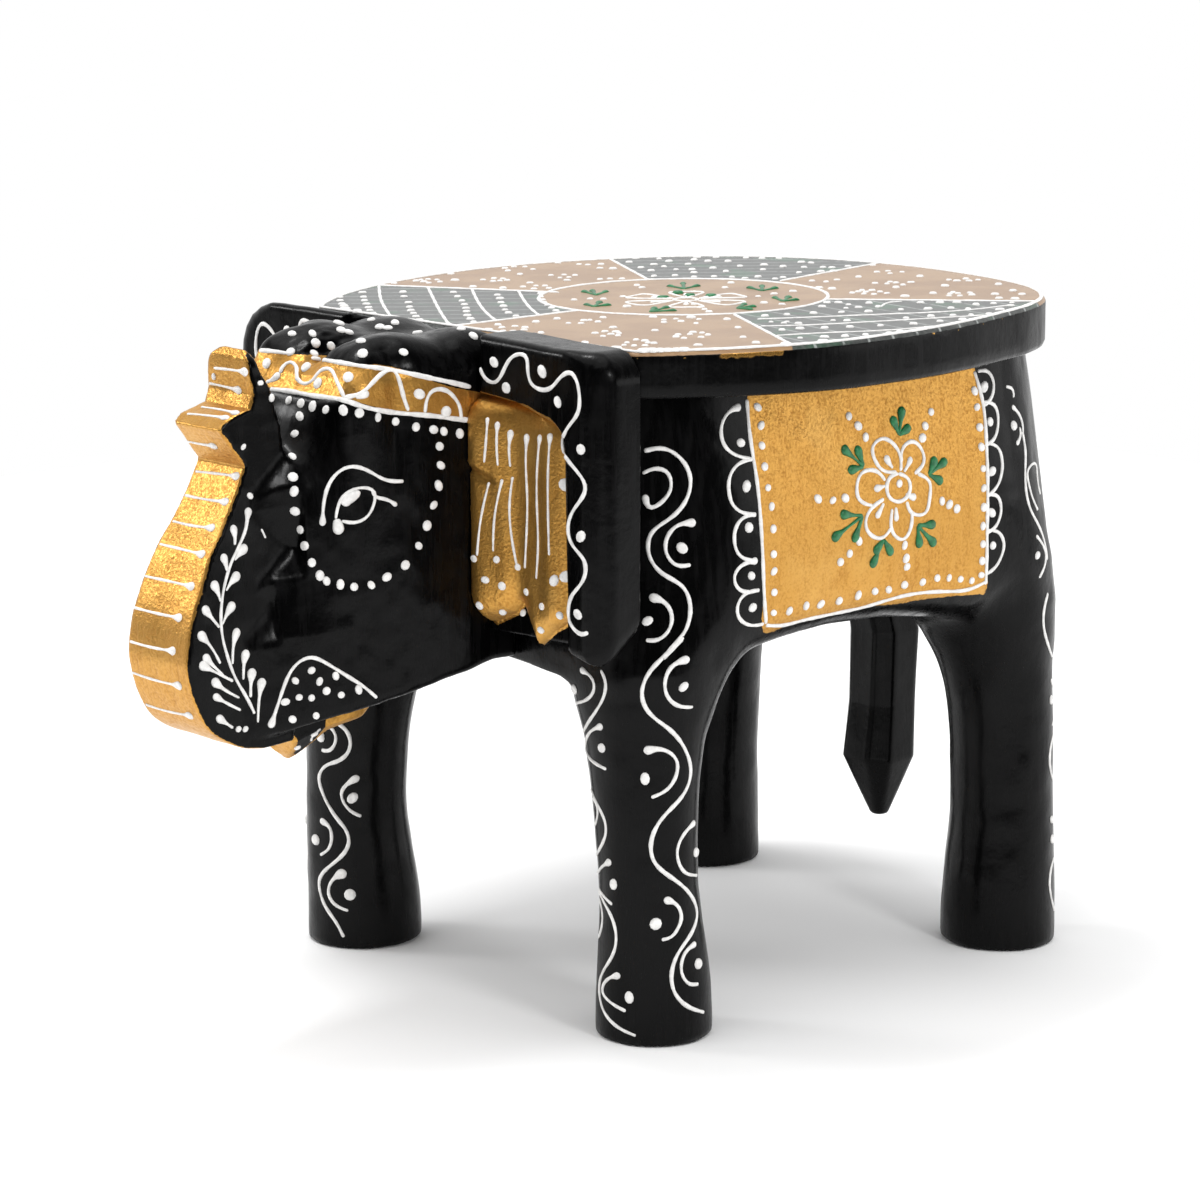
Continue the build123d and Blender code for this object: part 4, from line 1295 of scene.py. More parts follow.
# flower and rays in the middle of the cloth
flowerWork = dict(left="saddleFlowerLeft", right="saddleFlowerRight", on="body", dot=1.25, lines=[
    (1.2, 0, 898.4, 473.6, 890.8, 476.5, 886.6, 487.7, 890, 498.1, 897.8, 501.7, 906.2, 497.5, 910.2, 487.7,
     906.8, 477.3, 898.4, 473.6),
    (1.12, 0, 896.4, 472.2, 883.8, 470.8, 874, 458.2, 872.6, 447, 882.4, 438.6, 893.6, 444.2, 900.6, 458.2,
     900.6, 470.8),
    (1.12, 0, 901.5, 462.4, 903.4, 447, 911.8, 441.4, 921.7, 449.8, 923.1, 463.8, 914.6, 473.6),
    (1.12, 0, 917.5, 473.6, 928.7, 480.7, 929.5, 497.5, 923.1, 514.3, 911.8, 512.9, 906.8, 501.7),
    (1.12, 0, 911.8, 511.5, 910.4, 528.4, 902, 539.6, 893.6, 534, 890.8, 520, 892.2, 508.7),
    (1.12, 0, 890.8, 528.4, 881, 538.2, 869.7, 534, 865.5, 522.8, 871.2, 508.7, 883.8, 498.9),
    (1.12, 0, 872.6, 505.9, 859.9, 500.3, 857.1, 483.5, 862.7, 472.2, 875.4, 470.8, 885.2, 480.7),
    (0.88, 2.2, 885.2, 455.4, 888, 461.6, 892.8, 468),
    (0.88, 2, 911, 456.8, 908.5, 463.8, 904, 471.7),
    (0.88, 2.2, 874, 489.1, 879.6, 487.7, 885.2, 485.7),
    (0.88, 2.2, 916, 497.5, 911.8, 496.9, 905.7, 494.1),
    (0.88, 2, 876.2, 518, 879.6, 511.5, 883.8, 503.1),
    (0.88, 2, 896.4, 521.4, 896.1, 514.3, 895.8, 507.3),
], dots=[
    899.2, 483.5, 865.5, 437.2, 858, 425.9, 848.7, 416.1, 922.2, 438, 925, 425.9, 930.9, 411.9, 845.1,
    498.1, 832.7, 500.3, 817.8, 498.9, 941.9, 501.1, 949.2, 504.5, 956.7, 508.7, 858.8, 541, 849.5, 553.6,
    840.3, 562, 904.5, 545.2, 905.9, 558.4, 906.8, 566.8
])
layWork(flowerWork)

# scroll down the outside of the front legs
shoulderWork = dict(left="legScrollLeft", right="legScrollRight", on="body", dot=1.5, lines=[
    (1.12, 0, 643.9, 451.2, 662.1, 448.4, 680.3, 458.2, 690.2, 477.9, 685.9, 500.3, 667.7, 520, 650.9, 534,
     648.1, 550.8, 662.1, 573.3, 683.1, 587.3, 690.2, 606.9, 685.9, 629.4, 673.3, 646.2, 662.1, 660, 683.5,
     636.8, 663.8, 656.5, 647, 676.1, 641.9, 693, 647, 709.8, 669.4, 729.4, 684.9, 749.1, 690.5, 771.5,
     683.5, 794, 663.8, 816.4, 651.2, 841.7, 654, 861.3, 672.2, 878.1, 690.5, 895, 696.6, 911.8, 690.5,
     934.3, 677.8, 953.9, 671.4, 976.3, 675, 993.2, 689.1, 1007.2, 703.9, 1012.3),
    (1.04, 2.4, 695.8, 522.8, 677.5, 525.6, 666.3, 539.6, 667.7, 556.4, 677.5, 565.4, 690.7, 564.8),
    (1.04, 2.2, 644.7, 494.7, 649.5, 507.3, 663.5, 500.3, 671.1, 483.5, 666.3, 471.7, 653.7, 468.9, 642.4,
     473.6),
    (1.04, 2.6, 648.9, 596.6, 666.3, 604.1, 671.9, 618.2, 666.3, 633.6, 656.5, 640.1, 645.8, 640.1),
    (1.04, 2.4, 689.6, 658.7, 672.2, 666.3, 665.2, 680.3, 668, 697.2, 677.8, 705.6, 693, 707),
    (1.04, 2.4, 643.6, 751.3, 663.8, 749.9, 676.4, 760.3, 676.4, 774.3, 666.6, 789.8, 651.2, 797.6),
    (0.96, 2, 694.7, 822, 683.5, 834.6, 677.3, 850.1, 679.2, 864.1, 686.3, 873.4, 696.6, 875.3),
    (1.04, 2.2, 663.8, 899.7, 675, 903.4, 681.2, 914.6, 677.8, 928.6, 670.8, 937.1, 661.6, 939.9),
    (0.96, 1.9, 695.8, 943.2, 686.3, 951.1, 681.2, 965.1, 683.5, 977.7, 689.6, 983.9, 698.3, 983.9),
], dots=[
    682, 548, 647.5, 621, 683.5, 686.8, 645, 778.8, 695.5, 852.3, 655.7, 923.9, 698, 963.7
])
layWork(shoulderWork)

# scroll down the front of the left leg
leftShinWork = dict(left="frontScrollLeft", on="body", dot=1.5, lines=[
    (0.96, 1.8, 580.2, 669.1, 591.4, 677.5, 594.2, 688.7, 588.1, 698.6, 576.3, 703.1),
    (0.96, 0, 600.7, 669.9, 605.5, 681.7, 603.5, 697.2, 593.1, 715.4, 583.8, 732.2, 583, 751.9, 588.1,
     777.1, 596.5, 802.4, 604.9, 820.6, 605.7, 834.6, 599.3, 850.1, 594.2, 864.1, 595.9, 880.9, 603.5,
     900.6, 611.9, 917.4, 616.1, 933.7, 616.1, 942.7, 611.9, 956.7, 602.1, 974.1, 599.8, 993.2, 604.9,
     1012.8, 617.5, 1026.8, 635.8, 1035.8),
    (0.96, 2, 602.6, 726.1, 591.4, 730.8, 585.8, 743.5, 589.5, 757.5, 606.3, 769.3),
    (0.96, 2, 611.1, 861.3, 600.7, 868.3, 597.3, 880.9, 602.1, 893.6, 612.2, 904.5),
    (0.96, 2.1, 620.3, 975.2, 606.3, 980.5, 602.6, 990.4, 610.5, 1002.2, 625.7, 1011.1),
    (0.8, 0, 587.5, 791.7, 595.9, 802.4, 597.9, 813.6, 593.1, 830.4),
    (0.8, 0, 596.5, 889.4, 601.5, 906.2, 602.1, 925.8, 597, 942.7),
], dots=[
    574.6, 689.3, 601.8, 747.9, 613.6, 884.3, 629.3, 997.4
])
layWork(leftShinWork)

# scroll down the front of the right leg
rightShinWork = dict(left="frontScrollRight", on="body", dot=1.6, lines=[
    (1.12, 0, 337.2, 723, 345.8, 730, 350.3, 741.7, 348.3, 751.7, 338.3, 760.8, 325.8, 765.8, 320, 773.3,
     320.8, 786.7, 328.3, 805, 338.3, 820, 346.7, 831.7, 348.7, 843.3, 342.5, 855, 329.2, 866.7, 320, 878.3,
     320, 890, 325.8, 906.7, 336.7, 923.3, 343.8, 937.2),
    (1.04, 0, 329.7, 726.3, 335.3, 734.2, 334.7, 744.2, 329.2, 750.5, 321.7, 750),
    (0.96, 2.4, 359.2, 776.7, 348.3, 783.3, 341.7, 791.7, 344.2, 803.3, 351.7, 811.7, 361.3, 816.3),
    (0.96, 2.3, 320.3, 820, 329.2, 826.7, 331.7, 837.5, 328.3, 849.2, 320.3, 855),
    (1.04, 2.9, 346.3, 872, 334.2, 878.3, 328.7, 888.3, 331.7, 900.8, 338.3, 906.7, 348.3, 910.8),
], dots=[
    352.5, 798, 316, 839.7, 350, 894.7, 320.8, 736.3
])
layWork(rightShinWork)

# scroll behind the cloth and down the rear legs
rumpWork = dict(left="rumpScrollLeft", right="rumpScrollRight", on="body", dot=1.3, lines=[
    (0.88, 0, 1006.2, 386.6, 1011.2, 388.1, 1013.4, 397.5),
    (0.88, 1.5, 1011.9, 406.2, 1018.1, 413.1, 1022.2, 424.1, 1022.8, 435),
    (0.88, 1.3, 1016.6, 444.4, 1020.3, 435, 1019.7, 427.2),
    (0.96, 0, 1022.2, 431.9, 1025, 450.6, 1025, 469.4, 1025.9, 491.2, 1030.6, 510, 1038.4, 525.6, 1044.7,
     544.4, 1046.9, 560),
    (0.8, 0, 1037.5, 510, 1032.2, 497.5, 1028.1, 481.9, 1028.8, 467.8, 1033.8, 463.1, 1036.9, 475.6, 1040,
     494.4),
    (0.88, 1.3, 1036.2, 535.6, 1043.8, 547.5, 1044.7, 564.7, 1039.1, 577.8),
    (0.96, 0, 1047.8, 592.8, 1043.8, 610, 1043.8, 628.8, 1047.8, 644.4, 1051.9, 656.9),
    (0.88, 1.3, 1050.9, 679.4, 1053.4, 691.2, 1054.7, 710, 1051.9, 725.6),
    (0.96, 0, 1055, 725.6, 1050.9, 744.4, 1049.4, 763.1, 1053.4, 783.4),
    (0.96, 0, 1054.4, 855.3, 1050.9, 867.8, 1049.4, 885, 1053.8, 910),
], dots=[
    1013.4, 425.6, 1037.2, 555.3, 1050.9, 699.7, 1051.6, 819.4, 1051.9, 838.8
])
layWork(rumpWork)

# eyes and eyebrows
eyeWork = dict(left="eyeLeft", right="eyeRight", on="head", lines=[
    (0.96, 1.9, 322.5, 525.9, 324.4, 499, 333.2, 477.5, 349.5, 466.8, 369.4, 471.4, 386.2, 480, 403.6,
     481.2),
    (0.88, 0, 335.7, 518.9, 339.7, 502, 351, 490.4, 374, 491.9, 373.3, 505.7, 365.7, 517.9, 354.1, 522.5,
     341.8, 521),
    (0.88, 3.2, 339.1, 534.5, 338.1, 527.1, 336.3, 518.9),
    (0.88, 1.3, 396.9, 505.7, 384.7, 499, 374.6, 495.9, 371.8, 488.2),
    (2.8, 0, 341.8, 504.5, 350.4, 497.4, 360.2, 492.2),
])
layWork(eyeWork)

# rings of dots round the eyes, and the edge of the cheeks
faceWork = dict(left="faceDotsLeft", right="faceDotsRight", on="head", middle=15, dot=1.25, lines=[
    (0.96, 2, 270.2, 727.9, 276, 710.2, 283.7, 687.2, 295, 665.8, 309.7, 657.5, 326.5, 663.3, 347.9, 676.5,
     363.2, 686.3, 377, 697.9),
    (0.72, 0, 261.3, 529, 265.6, 538.1),
], dots=[
    288.9, 400.4, 301.1, 403.2, 312.7, 406.2, 325.9, 409.6, 343.3, 410.2, 359.3, 412.9, 377.9, 417.2, 395.4,
    421.5, 415.9, 427, 433.6, 429.5, 443.7, 431.3, 459.7, 433.5, 299.9, 416.3, 294.7, 433.8, 292.2, 456.4,
    292.8, 476.9, 294.1, 491.3, 295, 511.2, 300.5, 529.6, 304.5, 545.8, 311.8, 562.6, 319.8, 575.5, 326.5,
    581, 340.3, 584.4, 354.1, 586.8, 371.2, 585, 386.8, 577, 405.2, 565.1, 418.6, 545.8, 426.9, 525.6,
    433.6, 505.1, 438.5, 485.5, 440.7, 465.3, 439.5, 446.3
])
layWork(faceWork)

cheekWork = dict(left="faceDotsLeft", right="faceDotsRight", on="head", dot=1.1, dots=[
    311.5, 670.4, 335.7, 675.9, 295.3, 680.8, 319.5, 681.4, 326.5, 690.9, 341.2, 694.9, 358.6, 689.7, 285.2,
    701.9, 299, 697.3, 311.5, 697.9, 316.1, 715.7, 292.5, 719.3, 271.4, 397.9
])
layWork(cheekWork)

# waves on the gold band round the brow
browBandWork = dict(left="browBandTrim", right="browBandTrim", on="head", middle=21, dot=1.5, lines=[
    (1.2, 0, 249.4, 349.9, 272.9, 351.4, 287.3, 353.3),
    (1.28, 0, 311.2, 358.2, 328, 360.6, 344.9, 363.4, 366.3, 366.7, 387.7, 369.2, 409.2, 373.5, 430.6,
     378.1, 452, 382.6, 471, 387.2),
    (1.28, 0, 267.7, 388.8, 289.8, 391.2, 314.3, 395.8, 344.9, 400.4, 360.2, 405.6, 375.5, 409.6, 409.2,
     413.9, 436.7, 416.3, 455.1, 418.8, 472.5, 420.3),
    (1.12, 2.2, 280, 373.5, 271.4, 380.2, 257.6, 383.3),
    (1.12, 0, 280, 373.5, 283.7, 365.8, 290.4, 362.1, 295.9, 365.8, 297.4, 378.1, 303.6, 383.6, 312.7,
     380.2, 321, 370.4, 329.6, 368.9, 335.7, 378.1, 341.8, 391.8, 344.9, 398.6),
    (1.12, 0, 344.9, 397.3, 360.2, 393.4, 374, 381.1, 384.7, 371.9, 392.3, 369.8, 398.4, 378.1, 403, 394.9,
     408.5, 410.8),
    (1.12, 0, 425.1, 412.6, 426.9, 399.5, 432.1, 391.2, 442.8, 389.4, 453.5, 396.4, 459.7, 407.1, 461.2,
     417.8),
    (0.96, 2, 368.7, 392.4, 363.2, 395.5, 355.6, 397.3),
], dots=[
    266.8, 363.4, 305.7, 367.3, 317.9, 383.3, 348.2, 377.1, 419.3, 394, 445.9, 411.7
])
layWork(browBandWork)

# dots on the domes of the skull
skullWork = dict(left="skullDots", on="head", dot=1.35, dots=[
    273.1, 322.8, 301.9, 322.2, 292.1, 333.8, 309.4, 313.1, 320.6, 316, 336, 316.2, 338.8, 323.5, 341.2,
    330.4, 348.8, 332.5, 331, 346.2, 360.9, 341.2, 362.5, 353.5, 403.5, 352.2, 379.8, 327.2, 387.8, 328.2,
    395, 322.8, 355.6, 315.6, 371.2, 320, 417.5, 333.1, 312.5, 333.8, 315.6, 343.1, 290.6, 351.9, 314,
    353.5, 473.4, 336.1, 419.9, 316.8, 439.8, 318.4, 461.2, 329.1
])
layWork(skullWork)

# stripes across the front of the trunk
trunkStripes = dict(left="trunkStrokes", on="head", dot=0.8, lines=[
    (0.72, 2.4, 248.1, 372.5, 231.6, 369.8, 213.9, 368),
    (0.72, 2.4, 241.7, 391.5, 227, 387.2, 209.6, 383.3),
    (0.72, 2.4, 238.4, 413.9, 222.4, 410.2, 201, 407.1),
    (0.72, 2.4, 228.6, 418.5, 207.1, 415.7, 187.2, 413.9),
    (0.72, 2.4, 216.9, 446.3, 201, 443.9, 185.1, 440.8),
    (0.72, 2.4, 239.3, 476.6, 219.4, 473.9, 195.5, 471.4),
    (0.72, 2.4, 228.6, 502, 207.1, 499.6, 182.6, 494.7),
    (0.72, 2.4, 214.8, 528, 191.8, 525.6, 170.4, 520.4),
    (0.72, 2.4, 204.7, 555, 182.6, 549.5, 159.7, 544),
    (0.72, 2.4, 194.3, 587.1, 170.4, 581.6, 145, 576.1),
    (0.72, 2.4, 182, 618.3, 158.2, 613.7, 132.1, 607),
    (0.72, 2.4, 175.6, 651.4, 152, 647.4, 125.1, 639.8),
    (0.72, 2.4, 181.7, 686.3, 153.6, 679.6, 125.1, 669.8),
    (0.72, 2.4, 192.7, 716, 164.3, 710.2, 136.7, 701),
    (0.72, 2.4, 204.1, 737.7, 182.6, 732.2, 162.7, 726.1),
], dots=[
    213.9, 376.5
])
layWork(trunkStripes)

# vine up the sides of the trunk
trunkSprigWork = dict(left="trunkSprigLeft", right="trunkSprigRight", on="head", dot=0.9, lines=[
    (0.88, 0, 254.6, 713.8, 246.9, 697.9, 236.2, 679.6, 227.9, 658.1, 222.4, 636.7, 220.9, 621.4, 222.4,
     596.9, 226.1, 578.5, 232.2, 560.2, 240.8, 541.8, 246.3, 526.5, 248.5, 508.1),
    (0.72, 2.3, 232.2, 525, 234.7, 535.7, 234.7, 544.9),
    (0.72, 2.3, 222.1, 554.1, 225.5, 563.2, 227, 570.9),
    (0.72, 2.6, 212, 581.6, 217.8, 592.3, 220.3, 601.5),
    (0.72, 2.6, 202.8, 606.7, 210.8, 616.8, 219.4, 627.5),
    (0.72, 2.7, 198.3, 632.7, 210.2, 645.9, 220.3, 663.6),
    (0.72, 2.4, 203.5, 655.1, 213.3, 665.8, 224, 675.9),
    (0.72, 2.7, 199.5, 663.6, 214.8, 671.9, 233.1, 681.1),
    (0.72, 2.6, 212, 679.6, 225.5, 690.3, 239.3, 697.9),
    (0.72, 2.2, 213.3, 695.2, 225.5, 702.5, 240.8, 710.2),
    (0.72, 2.4, 216.6, 716.6, 227, 723.9, 233.1, 727.9),
    (0.72, 2.2, 248.5, 507.5, 246.9, 520.4, 243.9, 534.2),
    (0.72, 2.8, 246.9, 545.8, 240.8, 551.6, 234.7, 560.2),
    (0.72, 2.7, 239.3, 573, 231.6, 581.6, 226.1, 590.8),
    (0.72, 2.7, 234.1, 602.4, 227, 613.7, 222.4, 624.5),
    (0.72, 2.7, 237.7, 628.1, 233.8, 642.8, 232.5, 664.2),
    (0.72, 2.6, 246.3, 649.6, 243.9, 664.2, 243.3, 679.6),
    (0.72, 2.6, 252.4, 668.2, 250.9, 682.6, 250.6, 697.3),
    (0.72, 2.6, 262.5, 678, 259.2, 697.9, 257.9, 722.4),
], dots=[
    245.4, 729.1, 238.4, 729.1, 243.3, 446.9, 250, 495.9
])
layWork(trunkSprigWork)

lipWork = dict(left="trunkSprigLeft", right="trunkSprigRight", on="lip", dot=0.9, lines=[
    (0.72, 1.2, 314.3, 747.5, 311.2, 740.8, 320.4, 728.5),
], dots=[
    297.4, 747.5, 314.3, 734
])
layWork(lipWork)

# wave on the border of the ears
earWaveWork = dict(left="earWaveLeft", right="earWaveRight", on="ear", dot=1.6, lines=[
    (1.12, 1.9, 480.6, 353.6, 479.6, 363, 482, 372.5, 487.2, 380, 494.7, 382.4, 500.2, 377.2, 504.9, 367.8,
     510.8, 358.3, 519, 354.1, 525.4, 356, 527.8, 365.4, 528.5, 374.8, 532, 384.3, 540.3, 389.5, 549, 389,
     555.6, 383.1, 562.7, 375.3, 569.8, 372.5, 575.7, 378.4, 578.7, 389, 579.7, 403.1, 578, 412.6, 572.1,
     422, 565.5, 431.5, 562.7, 443.3, 565.1, 455.1, 573.3, 466.9, 581.6, 477.5, 585.4, 487.6, 581.6, 498.7,
     573.3, 510.5, 568.6, 523.5, 569.3, 537.6, 575.7, 549.4, 583.9, 560.1, 585.6, 571.9, 580.4, 584.8,
     572.1, 595.5, 568.6, 608.4, 569.8, 621.4, 575.7, 630.8, 582.8, 634.4, 588.2, 632.5),
], dots=[
    494.3, 362.1, 506.5, 387.8, 542.4, 371.5, 558, 402, 580.9, 449.4, 565.5, 485, 580.9, 536.5, 566, 576.6,
    578, 614.3
])
layWork(earWaveWork)

# strokes and dots on the gold pads of the ears
pleatWork = dict(left="pleatStrokesLeft", right="pleatStrokesRight", on="ear", dot=1.1, lines=[
    (0.72, 1.3, 487.7, 417.3, 486.2, 438.5, 484.1, 462.6),
    (0.72, 1.7, 497.8, 421.6, 496.6, 440.9, 497.8, 465.7),
    (0.72, 2, 511.3, 429.8, 509.1, 448, 510.3, 466.9),
    (0.72, 2, 527.1, 433.8, 525.9, 462.1, 527.3, 495.2, 526.8, 530.6, 524.9, 568.3),
    (0.72, 1.9, 540.3, 434.5, 537.7, 462.1, 537.2, 509.3, 538.2, 542.4, 536.3, 578.9),
    (0.72, 1.9, 550.4, 433.1, 548.5, 462.1, 548.1, 509.3, 549.2, 555.3),
    (0.72, 0.9, 489.1, 482.2, 481.3, 516.4, 477, 555.8),
    (0.72, 0.9, 502.3, 479.1, 494.7, 516.4, 493.1, 551.3),
    (0.72, 0.9, 512.7, 476.8, 509.8, 499.9, 510.8, 530.6, 515, 556.5, 516.9, 566),
], dots=[
    474, 558.6, 496.6, 559.6, 485.3, 579.9, 502.1, 586, 526.4, 591.9, 479.6, 605.6, 502.8, 612, 523.3,
    612.7, 541.9, 606.5, 559.9, 615.5, 540.8, 630.1, 517.9, 567.1
])
layWork(pleatWork)

pleatDotWork = dict(left="pleatStrokesLeft", right="pleatStrokesRight", on="ear", dot=1.55, dots=[
    554.2, 580.6
])
layWork(pleatDotWork)

# green sprigs round the flower on the cloth
saddleSprigWork = dict(left="saddleSprigsLeft", right="saddleSprigsRight", on="body", width=1.0, head=2.9,
    sprigs=[
    (899.2, 435.2, 891.6, 416.1, 902, 406.3, 910.4, 425.9),
    (863.6, 466.6, 841.7, 447, 856.3, 445.6, 847.9, 470.8),
    (928.7, 474.5, 935.7, 456.8, 946.9, 459.6, 942.7, 482.1),
    (862.7, 515.7, 840.3, 514.3, 831.9, 539.6, 853.5, 542.4),
    (883.8, 539.6, 871.2, 567.7, 874, 553.6, 892.2, 555),
    (917.5, 525.6, 935.7, 524.2, 935.7, 545.2, 919.7, 548),
])
laySprigs(saddleSprigWork)

# lines and rows of dots in the dark sectors of the seat
seatThreads = dict(left="seatRows", on="seat", lines=[
    (0.95, 0, 379, 286.5, 381, 300, 385.5, 309, 392, 318.5),
    (0.95, 0, 428, 287.5, 434, 300, 441, 313, 450.5, 327),
    (0.95, 0, 472, 289.5, 478, 302, 484.5, 311, 496, 321),
    (0.95, 0, 518.5, 291, 524, 300.5, 531, 309, 539, 315.5),
    (0.65, 0, 757, 319.5, 800, 318, 850, 316, 900, 314, 960, 311, 1010, 305.5),
    (0.65, 0, 760, 326.5, 800, 325.7, 850, 323.3, 900, 320.5, 985, 315.5),
    (0.65, 0, 776, 336, 830, 333, 880, 331, 952, 325),
    (0.7, 0, 881, 307, 885, 304, 893, 302.3, 902, 301.8),
])
layWork(seatThreads)

seatRowWork = dict(left="seatRows", on="seat", dot=1.1, dots=[
    340, 297.5, 340, 301, 342, 304.5, 344, 306.5, 362.5, 293, 363.5, 297.5, 364.5, 301, 366.5, 304.5, 368.5,
    308, 370, 310.7, 371, 314, 403, 292.5, 404, 297, 408.5, 303, 409.5, 307.5, 411, 311, 413.5, 313.7, 416,
    317, 418, 320.5, 453.5, 292.7, 457.5, 297, 462, 301.3, 464.5, 305, 466, 308.7, 466.5, 312, 467.5, 316,
    470.5, 319.5, 473.5, 322.5, 497.5, 295.5, 500, 299, 501, 303, 503.5, 306.7, 505, 310.3, 508.5, 313.3,
    516, 316.5, 541, 294, 541, 297, 542, 300.5, 544, 303, 547.5, 305.5, 551.5, 308.3, 556, 311.3, 765,
    316.5, 787, 315, 813.5, 313.7, 841.5, 312.7, 868.5, 312, 822, 307, 858.5, 307.8, 878, 307, 838.5, 303,
    827, 303, 869, 303.5, 901, 310, 928, 309.3, 951, 308.5, 968, 309.3, 920.5, 303, 940, 303, 957, 302.8,
    976, 305, 993.5, 304, 1011, 306, 1000, 310, 906, 318.5, 931, 316.7, 953, 315.7, 989, 314.3, 798.5, 324,
    847, 321, 880.5, 326, 913.5, 324.3, 940, 321.7, 962.5, 320, 850, 327.5, 824.5, 328.3, 800, 329, 782,
    330.3, 929, 328.3, 824.5, 337.5, 845, 336.8, 865.5, 335.2, 889, 333.5, 906, 333, 629, 262.5, 636, 258.7,
    654, 265, 659, 259.2, 669, 261.7, 664, 267, 641, 268, 651, 271, 654, 276.5, 675, 276, 676, 270, 688,
    264.7, 694, 260.2, 697, 257.7, 692, 270, 694, 273, 694, 277.3, 708, 261.7, 716, 257.7, 713, 268.5, 714,
    277, 728, 261.7, 726, 271.7, 732, 277.5, 740, 266.5, 746, 258.2, 745, 278.7, 758, 277.2, 762, 258.7,
    764, 265.3, 763, 270, 779, 258.7, 783, 267, 775, 279.3, 783, 277.8, 801.5, 262.7, 811, 263.3, 804,
    267.7, 799, 273, 823, 267.7, 832, 268, 833.5, 271.5, 821, 272, 848, 266.7, 873, 265.5
])
layWork(seatRowWork)

smallRowWork = dict(left="seatRows", on="seat", dot=0.8, dots=[
    846, 308.5, 848.5, 305, 971, 315, 787, 322, 771, 322.3, 784, 323.4, 833, 320.8, 800, 338.3, 1012, 303
])
layWork(smallRowWork)

# dots in groups and singly in the tan sectors, and on the rim
blossomWork = dict(left="seatBlossoms", on="seat", dot=0.95, dots=[
    502, 328, 515, 326.7, 525, 328, 503, 331.7, 513, 331.7, 524, 330.3, 568.5, 323.7, 584, 321, 590, 320.5,
    581, 323.8, 598, 322.3, 595, 333.7, 605, 332, 603, 336.7, 611, 334.7, 616, 332.3, 619, 333.8, 618, 336,
    627, 343.2, 636, 340.2, 645, 341.3, 648, 343.3, 654, 343.7, 624, 345.7, 634, 346.2, 645, 346, 678,
    335.2, 676, 337.2, 684, 338.7, 690, 334.8, 693, 332.8, 702, 333.3, 708, 335.3, 701, 337.7, 664, 320.3,
    664, 322.8, 676, 319.4, 681, 321.8, 691, 318, 699, 319.8, 696, 323.8, 837, 280.3, 826, 282.2, 812,
    281.3, 877, 272.4, 888, 271.4, 890, 273.9, 902, 272.4, 896, 283.2, 890, 282.3, 887, 284.2, 903, 285.3,
    911, 282.8, 875, 283.7, 866, 292.3, 862, 290.8, 864, 294.3, 872, 290.8, 874, 294.7, 880, 292.3, 887,
    293.7, 852, 293.3, 858, 292.2, 949, 280.3, 957, 281.3, 966, 279.3, 969, 281.3, 978, 280.3, 950, 294.3,
    953, 292.8, 949, 296.2, 958, 293.8, 960, 296.2, 970, 293.3, 972, 295.3, 416, 281.3, 421, 280.2, 428,
    279.7, 437, 280.2, 440, 282.3, 429, 283.3, 424, 282.2, 483, 280.2, 494, 278.8, 503, 279.2, 507, 280.7,
    493, 281.7, 500, 281.2, 505, 268.7, 514, 267.2, 525, 267.2, 533, 269.7, 508, 271.2, 551, 275.7, 564,
    275.2, 575, 275.7, 560, 278.2, 569, 277.7, 567, 280.7, 579, 264.7, 588, 265.2, 601, 264.7, 600, 268.7,
    523, 287.3, 530, 283.3, 536, 286.3, 545, 286.3, 549, 288.7, 534, 289.3, 600, 279.7, 610, 279.2, 622,
    279.2, 574, 300.3, 590, 299.2, 603.5, 299.4, 623, 297, 637, 285.7, 642, 288, 725, 288, 758, 296.8, 782,
    304.7, 700, 307.7, 704.5, 309.8
])
layWork(blossomWork)

scatterWork = dict(left="seatBlossoms", on="seat", dot=1.15, dots=[
    536, 322.3, 557, 319.3, 603, 318, 653, 317.5, 613, 328, 655, 331, 727, 319.8, 738, 328, 743, 337.7, 555,
    339.8, 585, 343.2, 541, 333.3, 698, 345.7, 756, 343.3, 498, 325.3, 488, 330.3, 858.5, 277.3, 920, 276.8,
    896, 287.8, 832, 289.3, 819, 288.3, 945, 286.3, 933, 293.8, 905, 296.8, 998.5, 284.8, 995, 294.8, 1013,
    291.2, 1022, 294.7, 999, 298.8, 1015, 299.3, 520, 274.7, 613, 269.2, 558, 263.2, 503, 288.7, 473, 287.3,
    394, 283.7, 451, 274.2, 455, 280.7, 627, 307, 731, 283.3, 774, 294.3, 793, 291.8, 764, 303.3, 694,
    304.7, 709, 312.3
])
layWork(scatterWork)

rimWork = dict(left="seatBlossoms", on="seat", dot=1.5, dots=[
    614, 350.3, 641, 355, 650, 354, 659, 353.5, 667, 353, 676, 353.3, 684, 351.8, 345, 309.7, 357, 311.7,
    790.5, 347, 823, 341.7, 691, 318
])
layWork(rimWork)

# green sprigs round the flower on the seat
seatSprigWork = dict(left="seatSprigs", on="seat", width=1.0, head=2.1, sprigs=[
    (596, 295.3, 583, 291.5, 592, 290.6, 607, 291.4),
    (684, 289, 668, 286, 683, 283.2, 699, 285.7),
    (762, 291, 748, 287.6, 762, 285.8, 777, 288),
    (783, 301.5, 774, 297.5, 789, 297, 799, 299.8),
    (737, 308.5, 745, 304, 756, 306.5, 753, 309.8),
    (650, 312, 655, 308, 668, 307.3, 677, 310.6),
    (594, 306.8, 585, 304.5, 600, 302.2, 611, 305),
])
laySprigs(seatSprigWork)

seatGreens = dict(left="seatSprigs", on="seat", dot=1.6, dots=[
    663, 298.3, 678, 293.3, 690, 296, 711, 296.5
])
layWork(seatGreens)

